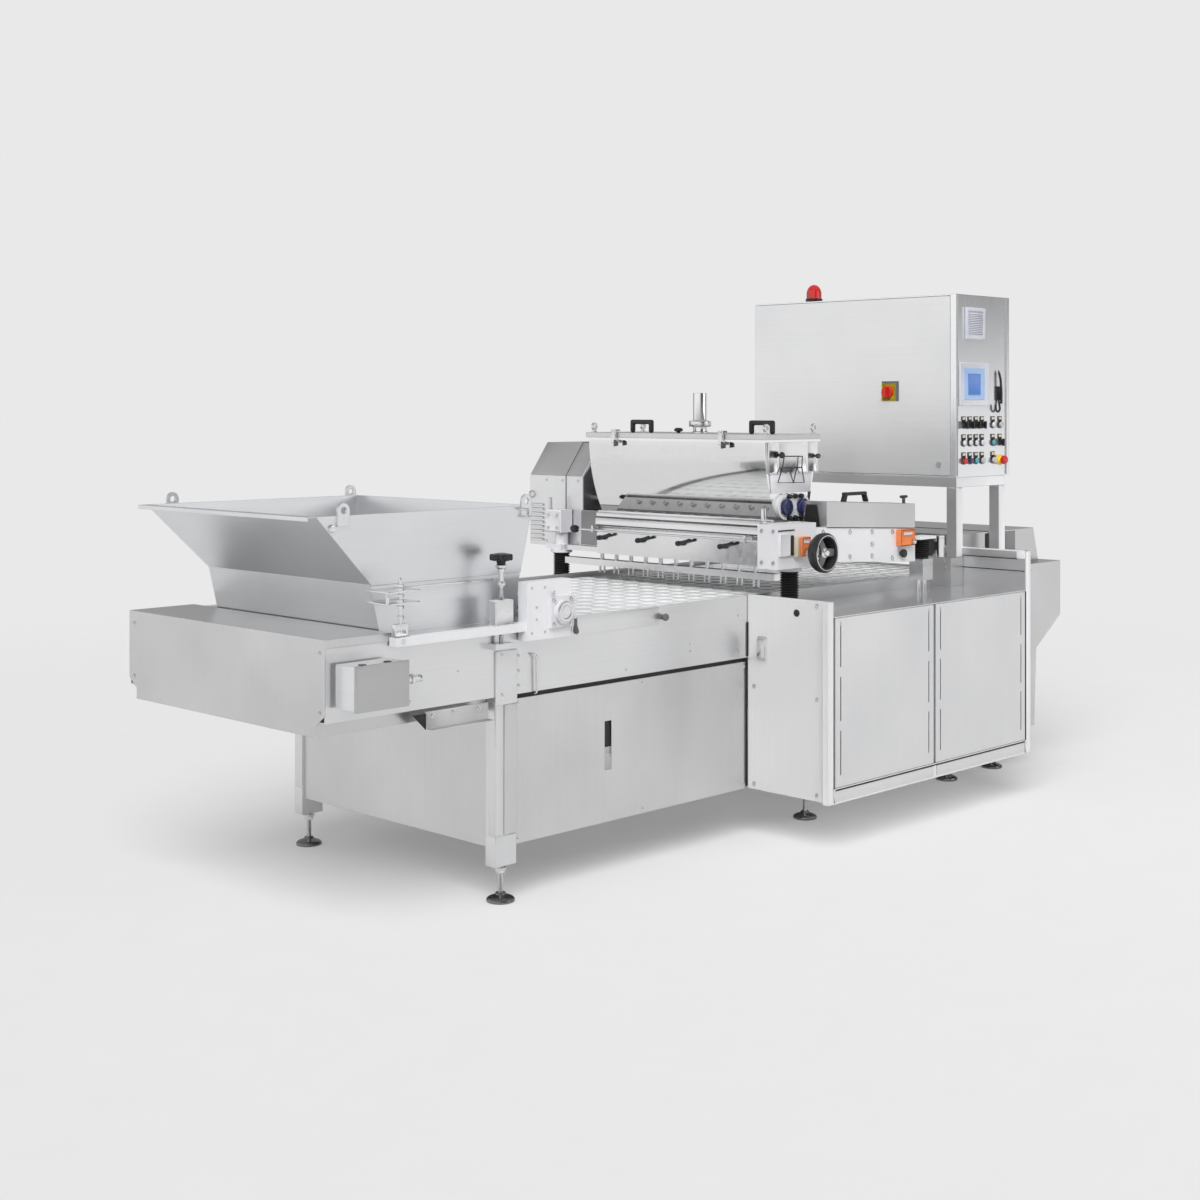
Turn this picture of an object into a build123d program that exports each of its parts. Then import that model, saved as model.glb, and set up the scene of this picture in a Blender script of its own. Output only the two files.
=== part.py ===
import os
from math import cos, pi, radians, sin
from build123d import *

os.makedirs("parts", exist_ok=True)

# Volumetric injector for a mould-plate conveyor. Millimetres, +Z up, +X the way the plates travel,
# -Y the operator's side. Modelled from a datum on the floor under the first near leg, then shifted
# so that the origin is the middle of the floor rectangle that the machine covers.

# Clearances
running_gap = 0.3
shaft_gap = 0.05
door_gap = 1.5

# Conveyor
conveyor_width = 1160.0
leg_inset = 25.0
near_face = -leg_inset
far_face = near_face + conveyor_width
centre_y = (near_face + far_face) / 2
infeed_end_x = -765.0
plates_end_x = 3290.0
side_thickness = 4.0
side_low_z = 710.0
side_top_z = 957.0
side_flange = 60.0
sheet = 3.0

# Legs, rails and levelling feet
leg_xs = (0.0, 1700.0, 2750.0, 3130.0)
leg_width = 94.0
leg_depth = 2 * leg_inset
leg_low_z = 126.0
rail_depth = 40.0
rail_height = 70.0
rail_inset = 30.0
tie_size = 40.0
tie_low_z = 230.0
foot_radius = 50.0
foot_pad_height = 14.0
foot_cone_height = 16.0
foot_stem_radius = 10.0
foot_stem_engagement = 50.0
foot_nut_height = 14.0

# Skirts
skirt_low_z = 190.0
skirt_top_z = 693.0
skirt_inset = 7.0
skirt_slot_x = 495.0
skirt_slot_width = 36.0
skirt_slot_z = (380.0, 558.0)

# Infeed box
cover_top_z = 974.0
cover_end_gap = 10.0
cover_lip = 28.0
pan_low_z = 662.0
pan_inset = 45.0
pan_end_x = -50.0
corner_notch_z = 735.0
corner_notch_rise = 35.0

# Junction box on the infeed side
junction_x = (-732.0, -524.0)
junction_z = (757.0, 897.0)
junction_depth = 100.0
junction_standoff = 15.0
gland_radius = 12.0
gland_length = 95.0

# Mould plates and their chains
plate_top_z = 940.0
plate_thickness = 14.0
plate_pitch = 90.0
plate_joint = 2.0
plate_first_x = -560.0
plate_count = 40
plate_edge = 45.0
cavity_pitch = 88.0
cavity_margin = 7.0
cavity_radius = 37.0
cavity_depth = 6.0
chain_width = 20.0
chain_height = 14.0
chain_inset = 85.0
wear_rail_height = 16.4
spacer_radius = 15.0
spacer_xs = (-300.0, 300.0, 900.0, 1500.0, 2100.0, 2700.0)

# Conveyor shafts
idler_x = -620.0
drive_x = 3240.0
sprocket_radius = 110.0
sprocket_width = 12.0
sprocket_notches = 24
sprocket_notch_radius = 7.0
conveyor_shaft_radius = 20.0

# Levelling roller on its swinging arms
arm_pivot_x = -480.0
arm_pivot_z = 945.0
arm_pivot_radius = 10.0
arm_x = (-511.0, 267.0)
arm_z = (930.0, 960.0)
arm_width = 35.0
arm_side_gap = 5.0
bearing_plate_x = 55.0
bearing_plate_z = (897.0, 1100.0)
bearing_plate_width = 45.0
roller_x = 213.0
roller_z = 988.0
roller_radius = 40.0
roller_shaft_radius = 15.0
roller_inset = 35.0
bearing_size = 110.0
bearing_flange = 14.0
bearing_boss_radius = 42.0
bearing_boss = 16.0
height_screw_x = -40.0
height_screw_radius = 8.0
height_screw_slot = 6.0
height_knob_z = 1180.0
height_knob_radius = 40.0
height_knob_height = 25.0
screw_seat_z = (878.0, 898.0)
screw_boss_size = 80.0
screw_boss_top_z = 1045.0

# Dispenser hopper at the infeed
rim_x = (-768.0, 165.0)
rim_z = 1358.0
rim_inset = (40.0, 115.0)
rim_lip = 32.0
rim_fold = 14.0
fold_x = (-530.0, 133.0)
fold_z = 1125.0
fold_inset = (67.0, 142.0)
hopper_base_x = (-490.0, 110.0)
hopper_base_inset = (70.0, 145.0)
lug_size = (48.0, 75.0, 8.0)
lug_rise = 40.0
lug_hole_radius = 11.0
lug_setback = (106.0, 32.0)

# Side cabinet
cabinet_x = (1300.0, 2688.0)
cabinet_front_y = -421.0
cabinet_low_z = 190.0
cabinet_top_z = 904.0
cabinet_top_sheet = 4.0
upstand_z = 962.0
door_front_y = -445.0
plinth_top_z = 250.0
door_split_x = 1985.0
door_split = 16.0
door_edge = 15.0
door_inset = 3.0
door_pin_radius = 4.0
door_pin_inset = 5.0
door_slot_width = 6.0
door_slot_inset = 34.0
door_slot_spans = ((298.0, 466.0), (504.0, 672.0), (711.0, 883.0))
end_panel_width = 38.0
end_panel_top_z = 1074.0
end_post = 48.0
end_rail = 50.0

# Electrical cabinet on its portal
ecab_x = (2636.0, 3080.0)
ecab_out = 100.0
ecab_far_inset = 100.0
ecab_y = (near_face - ecab_out, far_face - ecab_far_inset)
ecab_z = (1388.0, 2212.0)
ecab_wall = 4.0
ecab_roof = 6.0
ecab_strip = 30.0
edoor_thickness = 18.0
edoor_recess = 22.0
edoor_pin_inset = 6.0
portal_tube = 50.0
portal_beam = 44.0
portal_rear_x = 2990.0
portal_base_top_z = 1031.0
portal_base_x = 2590.0
portal_base_step_z = 960.0
portal_base_overhang = 61.0
portal_base_lap = 3.0
switch_from_edge = 364.0
switch_y = ecab_y[0] + switch_from_edge
switch_z = 1774.0
switch_plate = 80.0
switch_plate_thickness = 4.0
switch_knob_radius = 26.0
switch_knob_length = 36.0
beacon_x = 2850.0
beacon_from_edge = 199.0
beacon_y = ecab_y[1] - beacon_from_edge
beacon_base_radius = 42.0
beacon_base_height = 28.0
beacon_radius = 35.0
beacon_height = 98.0
grille_x = (2704.0, 2861.0)
grille_z = (2011.0, 2155.0)
grille_depth = 12.0
hmi_x = (2655.0, 2895.0)
hmi_z = (1709.0, 1906.0)
hmi_depth = 10.0

# Controls on the panel face
control_xs = (2695.0, 2745.0, 2795.0, 2845.0, 2937.0, 2997.0)
control_zs = (1623.0, 1542.0, 1461.0)
bezel_radius = 16.0
bezel_depth = 12.0
cap_radius = 13.0
cap_height = 14.0
cap_travel = 4.0
label_size = (30.0, 22.0, 3.0)
label_lift = 28.0
estop_base_radius = 24.0
estop_stem_radius = 10.0
estop_radius = 20.0
estop_travel = 5.0
selectors = {"selector_1": (0, 0), "selector_2": (1, 0), "selector_3": (2, 0), "selector_4": (3, 0),
             "selector_5": (5, 1)}
buttons = {"button_stop": (0, 2), "button_reset": (1, 2), "button_fill": (3, 2), "button_jog": (4, 2),
           "button_start": (5, 0)}
lamps = ((4, 0), (0, 1), (1, 1), (2, 1), (3, 1), (4, 1), (2, 2))
estop_place = (5, 2)

# Discharge housing and hood
housing_x = (2730.0, 3560.0)
housing_overhang = 91.0
housing_low_z = 190.0
housing_top_z = 960.0
housing_nose_z = 700.0
housing_throat = (3337.0, 555.0)
housing_foot_x = 3320.0
hood_x = (2790.0, 3463.0)
hood_flare = 46.0
hood_top_z = 1120.0
exit_z = (720.0, 945.0)

# Lift columns and bellows
column_x = 1470.0
column_out = 75.0
column_radius = 25.0
column_top_z = 1236.0
column_flange_radius = 48.0
column_flange = 10.0
column_bracket = (120.0, 135.0, 44.0)
rear_guide_from_end = 68.0
rear_guide_radius = 16.0
rear_rod_radius = 11.0
rear_rod_pitch = 44.0
rear_block_size = (76.0, 70.0)
rear_block_z = (952.0, 1044.0)
rear_bellows_radius = 33.0
rear_bellows_root_radius = 27.0
rear_bellows_ribs = 7
bellows_radius = 37.0
bellows_root_radius = 30.0
bellows_wall = 2.0
bellows_ribs = 12

# Injector head
block_x = (1315.0, 1560.0)
far_block_x = (1430.0, 1500.0)
far_block_low_z = 1137.0
far_flange = 20.0
far_sleeve_radius = 30.0
block_out = (37.0, 140.0)
block_z = (1064.0, 1240.0)
manifold_x = (1410.0, 1790.0)
manifold_front = 90.0
manifold_wall = 10.0
manifold_low_z = 1062.0
manifold_front_inset = 210.0
manifold_tie = (50.0, 22.0)
manifold_inset = (15.0, 25.0)
manifold_near_y = near_face + manifold_inset[0]
manifold_far_y = far_face - manifold_inset[1]
nozzle_x = 1470.0
nozzle_bar_width = 44.0
nozzle_bar_z = (1002.0, 1030.0)
nozzle_bar_reach = (12.0, 30.0)
nozzle_tube_radius = 9.0
nozzle_radius = 5.0
nozzle_pair = 26.0
nozzle_tip_z = 972.0
trough_inset = (35.0, 125.0)
trough_y = (near_face + trough_inset[0], far_face - trough_inset[1])
trough_front_top_x = 1446.0
trough_front_mid = (1467.0, 1400.0)
trough_front_low_x = 1530.0
trough_back_low_x = 1728.0
trough_back_top_x = 1794.0
trough_shoulder_z = 1540.0
trough_top_z = 1570.0
trough_end_wall = 6.0
trough_rim = 10.0
trough_slot = 40.0
lid_height = 22.0
lid_overhang = 13.0
lid_edge = 7.0
hinge_clearance = 3.0
hinge_rise = 6.0
hinge_inset = 240.0
hinge_ys = (trough_y[0] + hinge_inset, trough_y[1] - hinge_inset)
hinge_half = 43.0
hinge_ear = 8.0
hinge_pin_radius = 6.0
hinge_barrel_radius = 11.0
handle_inset = (80.0, 244.0)
handle_ys = (trough_y[0] + handle_inset[0], trough_y[1] - handle_inset[1])
handle_x = 1530.0
handle_length = 130.0
handle_height = 57.0
handle_thickness = 18.0
inlet_x = 1630.0
inlet_offset = 6.0
inlet_y = (trough_y[0] + trough_y[1]) / 2 + inlet_offset
inlet_radius = 30.0
inlet_wall = 2.5
inlet_top_z = 1765.0
ferrule_radius = 43.0
ferrule_z = 1620.0
ferrule_height = 24.0

# Feed rollers, their gears and motor
feed_roller_xs = (1567.0, 1673.0)
feed_roller_z = 1294.0
feed_roller_radius = 46.0
feed_shaft_radius = 14.0
feed_shaft_end = 26.0
feed_shaft_near_y = trough_y[0] - feed_shaft_end
bearing_housing_depth = 16.0
bearing_housing_radius = 52.0
gear_plate_thickness = 12.0
gear_teeth = 26
gear_width = 25.0
gear_offset = 13.0
gear_addendum = 2.4
gear_dedendum = 3.8
gear_cover_gap = 4.0
gear_cover_end_x = 1890.0
gear_cover_z = (1070.0, 1540.0)
gear_cover_depth = 331.0
gear_cover_brow = (110.0, 150.0)
motor_offset = 63.0
motor_flange = (1600.0, 1760.0)
motor_flange_z = (1225.0, 1375.0)
motor_flange_thickness = 10.0
motor_radius = 62.0
motor_length = 205.0
motor_post_radius = 8.0
motor_post_inset = 10.0

# Drive plate with its cover, handwheel and indicators
drive_end_x = 2292.0
drive_out = 115.0
drive_thickness = 40.0
drive_seam_z = (1218.0, 1180.0)
drive_low_z = (1077.0, 1036.0)
drive_cover_x = 1665.0
drive_cover_height = 106.0
drive_cover_depth = 120.0
guide_out = 100.0
guide_plate_length = 125.0
guide_plate_width = 80.0
guide_plate_z = (1130.0, 1142.0)
guide_rod_engagement = 85.0
wheel_x = 1460.0
wheel_z = 1130.0
wheel_out = 260.0
wheel_y = near_face - wheel_out
wheel_radius = 68.0
wheel_rim_radius = 11.0
wheel_hub_radius = 19.0
wheel_hub_length = 30.0
wheel_shaft_radius = 10.0
wheel_shaft_engagement = 30.0
spoke_count = 3
spoke_width = 16.0
spoke_thickness = 8.0
indicator_size = (56.0, 30.0, 75.0)
indicator_lift = 20.0
rear_indicator_x = (2150.0, 2258.0)
rear_indicator_z = (1110.0, 1180.0)
rear_indicator_depth = 26.0

# Clamp levers under the trough
lever_count = 4
lever_pitch = 232.0
lever_offset = -10.0
first_lever_y = centre_y + lever_offset - lever_pitch * (lever_count - 1) / 2
lever_ys = [first_lever_y + lever_pitch * index for index in range(lever_count)]
lever_z = 1132.0
lever_hub_radius = 11.0
lever_hub_length = 30.0
lever_pin_radius = 5.0
lever_pin_length = 15.0
lever_length = 72.0
lever_rise = 15.0
lever_section = (9.0, 12.0)


def far(y):
    return 2 * centre_y - y


def box(x, y, z, mode=Mode.ADD):
    with Locations(((x[0] + x[1]) / 2, (y[0] + y[1]) / 2, (z[0] + z[1]) / 2)):
        Box(x[1] - x[0], y[1] - y[0], z[1] - z[0], mode=mode)


def rod_x(y, z, x, radius, mode=Mode.ADD):
    with Locations(Location(((x[0] + x[1]) / 2, y, z), (0, 90, 0))):
        Cylinder(radius, x[1] - x[0], mode=mode)


def rod_y(x, z, y, radius, mode=Mode.ADD):
    with Locations(Location((x, (y[0] + y[1]) / 2, z), (90, 0, 0))):
        Cylinder(radius, y[1] - y[0], mode=mode)


def rod_z(x, y, z, radius, mode=Mode.ADD):
    with Locations((x, y, (z[0] + z[1]) / 2)):
        Cylinder(radius, z[1] - z[0], mode=mode)


def side_plane(y):
    return Plane(origin=(0, y, 0), x_dir=(1, 0, 0), z_dir=(0, -1, 0))


def prism(points, y, mode=Mode.ADD):
    with BuildSketch(side_plane(y[0])) as outline:
        with BuildLine():
            Polyline(*points, close=True)
        make_face()
    extrude(outline.sketch, amount=-(y[1] - y[0]), mode=mode)


pieces = {}

# Welded frame: legs, long rails and ties
leg_ys = (0.0, far(0.0))
with BuildPart() as base_frame:
    for leg_x in leg_xs:
        for leg_y in leg_ys:
            box((leg_x - leg_width / 2, leg_x + leg_width / 2),
                (leg_y - leg_depth / 2, leg_y + leg_depth / 2), (leg_low_z, side_low_z))
        for tie_z in (tie_low_z, side_low_z - rail_height):
            box((leg_x - tie_size / 2, leg_x + tie_size / 2), leg_ys, (tie_z, tie_z + tie_size))
    rail_y = (near_face + rail_inset, near_face + rail_inset + rail_depth)
    for rail in (rail_y, (far(rail_y[1]), far(rail_y[0]))):
        box((leg_xs[0], leg_xs[-1]), rail, (side_low_z - rail_height, side_low_z))
    for leg_x in leg_xs:
        for leg_y in leg_ys:
            rod_z(leg_x, leg_y, (leg_low_z, leg_low_z + foot_stem_engagement + foot_pad_height),
                  foot_stem_radius + running_gap, Mode.SUBTRACT)
pieces["base_frame"] = base_frame

with BuildPart() as levelling_feet:
    for leg_x in leg_xs:
        for leg_y in leg_ys:
            rod_z(leg_x, leg_y, (0, foot_pad_height), foot_radius)
            with Locations((leg_x, leg_y, foot_pad_height)):
                Cone(foot_radius * 0.9, foot_stem_radius * 1.6, foot_cone_height,
                     align=(Align.CENTER, Align.CENTER, Align.MIN))
            rod_z(leg_x, leg_y, (foot_pad_height, leg_low_z + foot_stem_engagement), foot_stem_radius)
            with BuildSketch(Plane.XY.offset(leg_low_z - foot_nut_height)) as nut:
                with Locations((leg_x, leg_y)):
                    RegularPolygon(foot_stem_radius * 1.8, 6)
            extrude(nut.sketch, amount=foot_nut_height)
pieces["levelling_feet"] = levelling_feet

with BuildPart() as skirt_panels:
    near_skirt = (near_face + skirt_inset, near_face + skirt_inset + sheet)
    far_skirt = (far(near_skirt[1]), far(near_skirt[0]))
    half_leg = leg_width / 2
    box((leg_xs[0] + half_leg, cabinet_x[0]), near_skirt, (skirt_low_z, skirt_top_z))
    box((skirt_slot_x, skirt_slot_x + skirt_slot_width), near_skirt, skirt_slot_z, Mode.SUBTRACT)
    for start, end in zip(leg_xs[:2], leg_xs[1:3]):
        box((start + half_leg, end - half_leg), far_skirt, (skirt_low_z, skirt_top_z))
    end_skirt_x = leg_xs[0] - half_leg + skirt_inset
    box((end_skirt_x, end_skirt_x + sheet),
        (leg_ys[0] + leg_depth / 2, leg_ys[1] - leg_depth / 2), (skirt_low_z, pan_low_z - running_gap))
pieces["skirt_panels"] = skirt_panels

# Conveyor side plates, tied by round spacers, with the arm pivots and the screw seat
plate_low_z = plate_top_z - plate_thickness
chain_z = (plate_low_z - chain_height, plate_low_z)
chain_centre_z = plate_low_z - chain_height / 2
shaft_z = chain_centre_z - sprocket_radius
wear_rail_z = (chain_z[0] - running_gap - wear_rail_height, chain_z[0] - running_gap)
spacer_z = wear_rail_z[0] - spacer_radius
plates_start_x = infeed_end_x + sheet
arm_y = (near_face - arm_side_gap - arm_width, near_face - arm_side_gap)
screw_y = (arm_y[0] + arm_y[1]) / 2
with BuildPart() as side_plates:
    box((plates_start_x, plates_end_x), (near_face, near_face + side_thickness), (side_low_z, side_top_z))
    box((plates_start_x, plates_end_x), (near_face, near_face + side_flange),
        (side_low_z, side_low_z + side_thickness))
    box((plates_start_x, plates_end_x), (far_face - side_thickness, far_face), (side_low_z, side_top_z))
    box((plates_start_x, plates_end_x), (far_face - side_flange, far_face),
        (side_low_z, side_low_z + side_thickness))
    for spacer_x in spacer_xs:
        rod_y(spacer_x, spacer_z, (near_face, far_face), spacer_radius)
    for pivot_y in ((arm_y[0], near_face), (far_face, far(arm_y[0]))):
        rod_y(arm_pivot_x, arm_pivot_z, pivot_y, arm_pivot_radius)
    box((height_screw_x - screw_boss_size / 2, height_screw_x + screw_boss_size / 2),
        (arm_y[0], near_face), screw_seat_z)
    seat_floor_z = screw_seat_z[0] + height_screw_radius
    rod_z(height_screw_x, screw_y, (seat_floor_z, screw_seat_z[1]), height_screw_radius + shaft_gap,
          Mode.SUBTRACT)
    for bore_x in (idler_x, drive_x):
        rod_y(bore_x, shaft_z, (near_face, far_face), conveyor_shaft_radius + shaft_gap, Mode.SUBTRACT)
pieces["side_plates"] = side_plates

cover_end_x = hopper_base_x[0] - cover_end_gap
with BuildPart() as infeed_cover:
    cover_y = (near_face - sheet, far_face + sheet)
    with BuildSketch(Plane(origin=(infeed_end_x, 0, 0), x_dir=(0, 1, 0), z_dir=(1, 0, 0))) as end_outline:
        with BuildLine():
            Polyline((cover_y[0], cover_top_z), (cover_y[0], corner_notch_z),
                     (near_face + pan_inset, corner_notch_z - corner_notch_rise),
                     (near_face + pan_inset, pan_low_z), (far_face - pan_inset, pan_low_z),
                     (far_face - pan_inset, corner_notch_z - corner_notch_rise),
                     (cover_y[1], corner_notch_z), (cover_y[1], cover_top_z), close=True)
        make_face()
    extrude(amount=sheet)
    box((infeed_end_x, cover_end_x), cover_y, (cover_top_z - sheet, cover_top_z))
    box((infeed_end_x, cover_end_x), (cover_y[0], near_face), (cover_top_z - cover_lip, cover_top_z))
    box((infeed_end_x, cover_end_x), (far_face, cover_y[1]), (cover_top_z - cover_lip, cover_top_z))
    pan_y = (near_face + pan_inset, far_face - pan_inset)
    box((plates_start_x, pan_end_x), pan_y, (pan_low_z, side_low_z))
    box((plates_start_x, pan_end_x), (pan_y[0] + sheet, pan_y[1] - sheet), (pan_low_z + sheet, side_low_z),
        Mode.SUBTRACT)
pieces["infeed_cover"] = infeed_cover

with BuildPart() as junction_box:
    junction_back = near_face - junction_standoff
    box(junction_x, (junction_back - junction_depth, junction_back), junction_z)
    fillet(junction_box.edges().filter_by(Axis.Y), sheet)
    foot_margin = junction_standoff
    box((junction_x[0] + foot_margin, junction_x[1] - foot_margin), (junction_back, near_face),
        (junction_z[0] + foot_margin, junction_z[1] - foot_margin))
    rod_x(junction_back - junction_depth / 2, (junction_z[0] + junction_z[1]) / 2,
          (junction_x[1], junction_x[1] + gland_length), gland_radius)
pieces["junction_box"] = junction_box

# Mould plates on two chains, running over the wear rails
plates_y = (near_face + plate_edge, far_face - plate_edge)
cavity_count = int((plates_y[1] - plates_y[0] - 2 * cavity_margin) // cavity_pitch)
first_cavity_y = centre_y - cavity_pitch * (cavity_count - 1) / 2
chain_ys = ((near_face + chain_inset - chain_width / 2, near_face + chain_inset + chain_width / 2),
            (far_face - chain_inset - chain_width / 2, far_face - chain_inset + chain_width / 2))
sprocket_reach = sprocket_radius + chain_height / 2
chain_x = (idler_x + sprocket_reach + plate_joint, drive_x - sprocket_reach - plate_joint - plate_pitch)
with BuildPart() as mould_plates:
    for index in range(plate_count):
        start = plate_first_x + index * plate_pitch
        box((start, start + plate_pitch - plate_joint), plates_y, (plate_low_z, plate_top_z))
    cavity_x = plate_first_x + (plate_count - 1) * plate_pitch / 2 + (plate_pitch - plate_joint) / 2
    with Locations((cavity_x, centre_y, plate_top_z - cavity_depth / 2)):
        with GridLocations(plate_pitch, cavity_pitch, plate_count, cavity_count):
            Cylinder(cavity_radius, cavity_depth, mode=Mode.SUBTRACT)
    for chain_y in chain_ys:
        box(chain_x, chain_y, chain_z)
pieces["mould_plates"] = mould_plates

with BuildPart() as wear_rails:
    for chain_y in chain_ys:
        box((spacer_xs[0] - chain_inset, spacer_xs[-1] + chain_inset), chain_y, wear_rail_z)
pieces["wear_rails"] = wear_rails


def sprocket_shaft(x):
    with BuildPart() as shaft:
        for chain_y in chain_ys:
            middle = (chain_y[0] + chain_y[1]) / 2
            rim = (middle - sprocket_width / 2, middle + sprocket_width / 2)
            rod_y(x, shaft_z, rim, sprocket_radius)
            for notch in range(sprocket_notches):
                angle = radians(360 / sprocket_notches * notch)
                rod_y(x + sprocket_radius * cos(angle), shaft_z + sprocket_radius * sin(angle), rim,
                      sprocket_notch_radius, Mode.SUBTRACT)
        rod_y(x, shaft_z, (near_face + running_gap, far_face - running_gap), conveyor_shaft_radius)
    return shaft


pieces["idler_shaft"] = sprocket_shaft(idler_x)
pieces["drive_shaft"] = sprocket_shaft(drive_x)

# Levelling roller: swinging arms, flange bearings, roller and height screw
plate_y = (arm_y[1] - bearing_plate_width, arm_y[1])
with BuildPart() as roller_arms:
    far_arm_y = (far(arm_y[1]), far(arm_y[0]))
    far_plate_y = (far(plate_y[1]), far(plate_y[0]))
    for arm, plate in ((arm_y, plate_y), (far_arm_y, far_plate_y)):
        box(arm_x, arm, arm_z)
        box((bearing_plate_x, arm_x[1]), plate, bearing_plate_z)
        rod_y(arm_pivot_x, arm_pivot_z, arm, arm_pivot_radius + shaft_gap, Mode.SUBTRACT)
        rod_y(roller_x, roller_z, plate, roller_shaft_radius + height_screw_slot, Mode.SUBTRACT)
    box((height_screw_x - screw_boss_size / 2, height_screw_x + screw_boss_size / 2), arm_y,
        (arm_z[1], screw_boss_top_z))
    rod_z(height_screw_x, screw_y, (arm_z[0], screw_boss_top_z), height_screw_radius + height_screw_slot,
          Mode.SUBTRACT)
pieces["roller_arms"] = roller_arms

bearing_out_y = plate_y[0] - bearing_flange - bearing_boss
with BuildPart() as flange_bearings:
    for flange, boss in (((plate_y[0] - bearing_flange, plate_y[0]), (bearing_out_y, plate_y[0])),
                         ((far(plate_y[0]), far(plate_y[0] - bearing_flange)),
                          (far(plate_y[0]), far(bearing_out_y)))):
        box((roller_x - bearing_size / 2, roller_x + bearing_size / 2), flange,
            (roller_z - bearing_size / 2, roller_z + bearing_size / 2))
        rod_y(roller_x, roller_z, boss, bearing_boss_radius)
        rod_y(roller_x, roller_z, boss, roller_shaft_radius + shaft_gap, Mode.SUBTRACT)
pieces["flange_bearings"] = flange_bearings

with BuildPart() as levelling_roller:
    rod_y(roller_x, roller_z, (near_face + roller_inset, far_face - roller_inset), roller_radius)
    rod_y(roller_x, roller_z, (bearing_out_y, far(bearing_out_y)), roller_shaft_radius)
pieces["levelling_roller"] = levelling_roller

with BuildPart() as height_knob:
    rod_z(height_screw_x, screw_y, (seat_floor_z + running_gap, height_knob_z), height_screw_radius)
    rod_z(height_screw_x, screw_y, (height_knob_z - height_knob_height, height_knob_z),
          height_screw_radius * 2)
    rod_z(height_screw_x, screw_y, (height_knob_z, height_knob_z + height_knob_height), height_knob_radius)
    for lobe in range(6):
        angle = radians(60 * lobe)
        rod_z(height_screw_x + height_knob_radius * cos(angle), screw_y + height_knob_radius * sin(angle),
              (height_knob_z, height_knob_z + height_knob_height), height_knob_radius / 4, Mode.SUBTRACT)
pieces["height_knob"] = height_knob

# Dispenser hopper: flared top, folded lower box, side flanges and lifting lugs
rim_y = (near_face + rim_inset[0], far_face - rim_inset[1])
fold_y = (near_face + fold_inset[0], far_face - fold_inset[1])
base_y = (near_face + hopper_base_inset[0], far_face - hopper_base_inset[1])


def rectangle_at(x, y, z, inset=0.0):
    corners = ((x[0] + inset, y[0] + inset, z), (x[1] - inset, y[0] + inset, z),
               (x[1] - inset, y[1] - inset, z), (x[0] + inset, y[1] - inset, z))
    return Face(Wire.make_polygon([Vector(*corner) for corner in corners], close=True))


with BuildPart() as dispenser_hopper:
    loft([rectangle_at(fold_x, fold_y, fold_z), rectangle_at(rim_x, rim_y, rim_z)], ruled=True)
    loft([rectangle_at(hopper_base_x, base_y, side_top_z), rectangle_at(fold_x, base_y, fold_z)], ruled=True)
    box(fold_x, fold_y, (fold_z - sheet, fold_z))
    box((rim_x[0] - rim_lip, rim_x[0] + sheet), rim_y, (rim_z - sheet, rim_z))
    box((rim_x[0] - rim_lip, rim_x[0] - rim_lip + sheet), rim_y, (rim_z - rim_fold, rim_z))
    box(hopper_base_x, (near_face, far_face), (side_top_z, side_top_z + sheet))
    loft([rectangle_at(fold_x, fold_y, fold_z, sheet), rectangle_at(rim_x, rim_y, rim_z, sheet)],
         ruled=True, mode=Mode.SUBTRACT)
    loft([rectangle_at(hopper_base_x, base_y, side_top_z, sheet),
          rectangle_at(fold_x, base_y, fold_z, sheet)], ruled=True, mode=Mode.SUBTRACT)
    lug_half = lug_size[0] / 2
    lug_crown_z = rim_z + lug_rise - lug_half
    near_lug = (rim_y[0] + sheet - lug_size[2], rim_y[0] + sheet)
    far_lug = (rim_y[1] - sheet, rim_y[1] - sheet + lug_size[2])
    for lug_x in (rim_x[0] + lug_setback[0], rim_x[1] - lug_setback[1]):
        for lug_y in (near_lug, far_lug):
            box((lug_x - lug_half, lug_x + lug_half), lug_y, (rim_z + lug_rise - lug_size[1], lug_crown_z))
            rod_y(lug_x, lug_crown_z, lug_y, lug_half)
            rod_y(lug_x, lug_crown_z, lug_y, lug_hole_radius, Mode.SUBTRACT)
pieces["dispenser_hopper"] = dispenser_hopper

# Side cabinet and its doors
door_low_z = plinth_top_z + door_gap
door_top_z = cabinet_top_z - cabinet_top_sheet - door_gap
door_back_y = cabinet_front_y - door_inset
left_door_x = (cabinet_x[0] + door_edge, door_split_x - door_split / 2)
right_door_x = (door_split_x + door_split / 2, cabinet_x[1] - door_inset)
pin_y = door_back_y - door_pin_inset
with BuildPart() as side_cabinet:
    box(cabinet_x, (cabinet_front_y, near_face), (cabinet_low_z, cabinet_top_z))
    box((cabinet_x[0] + sheet, cabinet_x[1] - sheet), (cabinet_front_y + sheet, near_face - sheet),
        (cabinet_low_z + sheet, cabinet_top_z - cabinet_top_sheet), Mode.SUBTRACT)
    for door_x in (left_door_x, right_door_x):
        box((door_x[0] + door_edge, door_x[1] - door_edge), (cabinet_front_y, cabinet_front_y + sheet),
            (door_low_z + door_edge, door_top_z - door_edge), Mode.SUBTRACT)
    box((cabinet_x[0], cabinet_x[0] + sheet), (cabinet_front_y, near_face), (cabinet_top_z, upstand_z))
    box(cabinet_x, (door_front_y, cabinet_front_y), (cabinet_low_z, plinth_top_z))
    box(cabinet_x, (door_front_y, cabinet_front_y), (cabinet_top_z - cabinet_top_sheet, cabinet_top_z))
    for door_x in (left_door_x, right_door_x):
        pin_x = door_x[0] + door_pin_inset
        rod_z(pin_x, pin_y, (plinth_top_z - 2 * door_pin_radius, plinth_top_z), door_pin_radius + shaft_gap,
              Mode.SUBTRACT)
        rod_z(pin_x, pin_y, (cabinet_top_z - cabinet_top_sheet, cabinet_top_z), door_pin_radius + shaft_gap,
              Mode.SUBTRACT)
pieces["side_cabinet"] = side_cabinet


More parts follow.
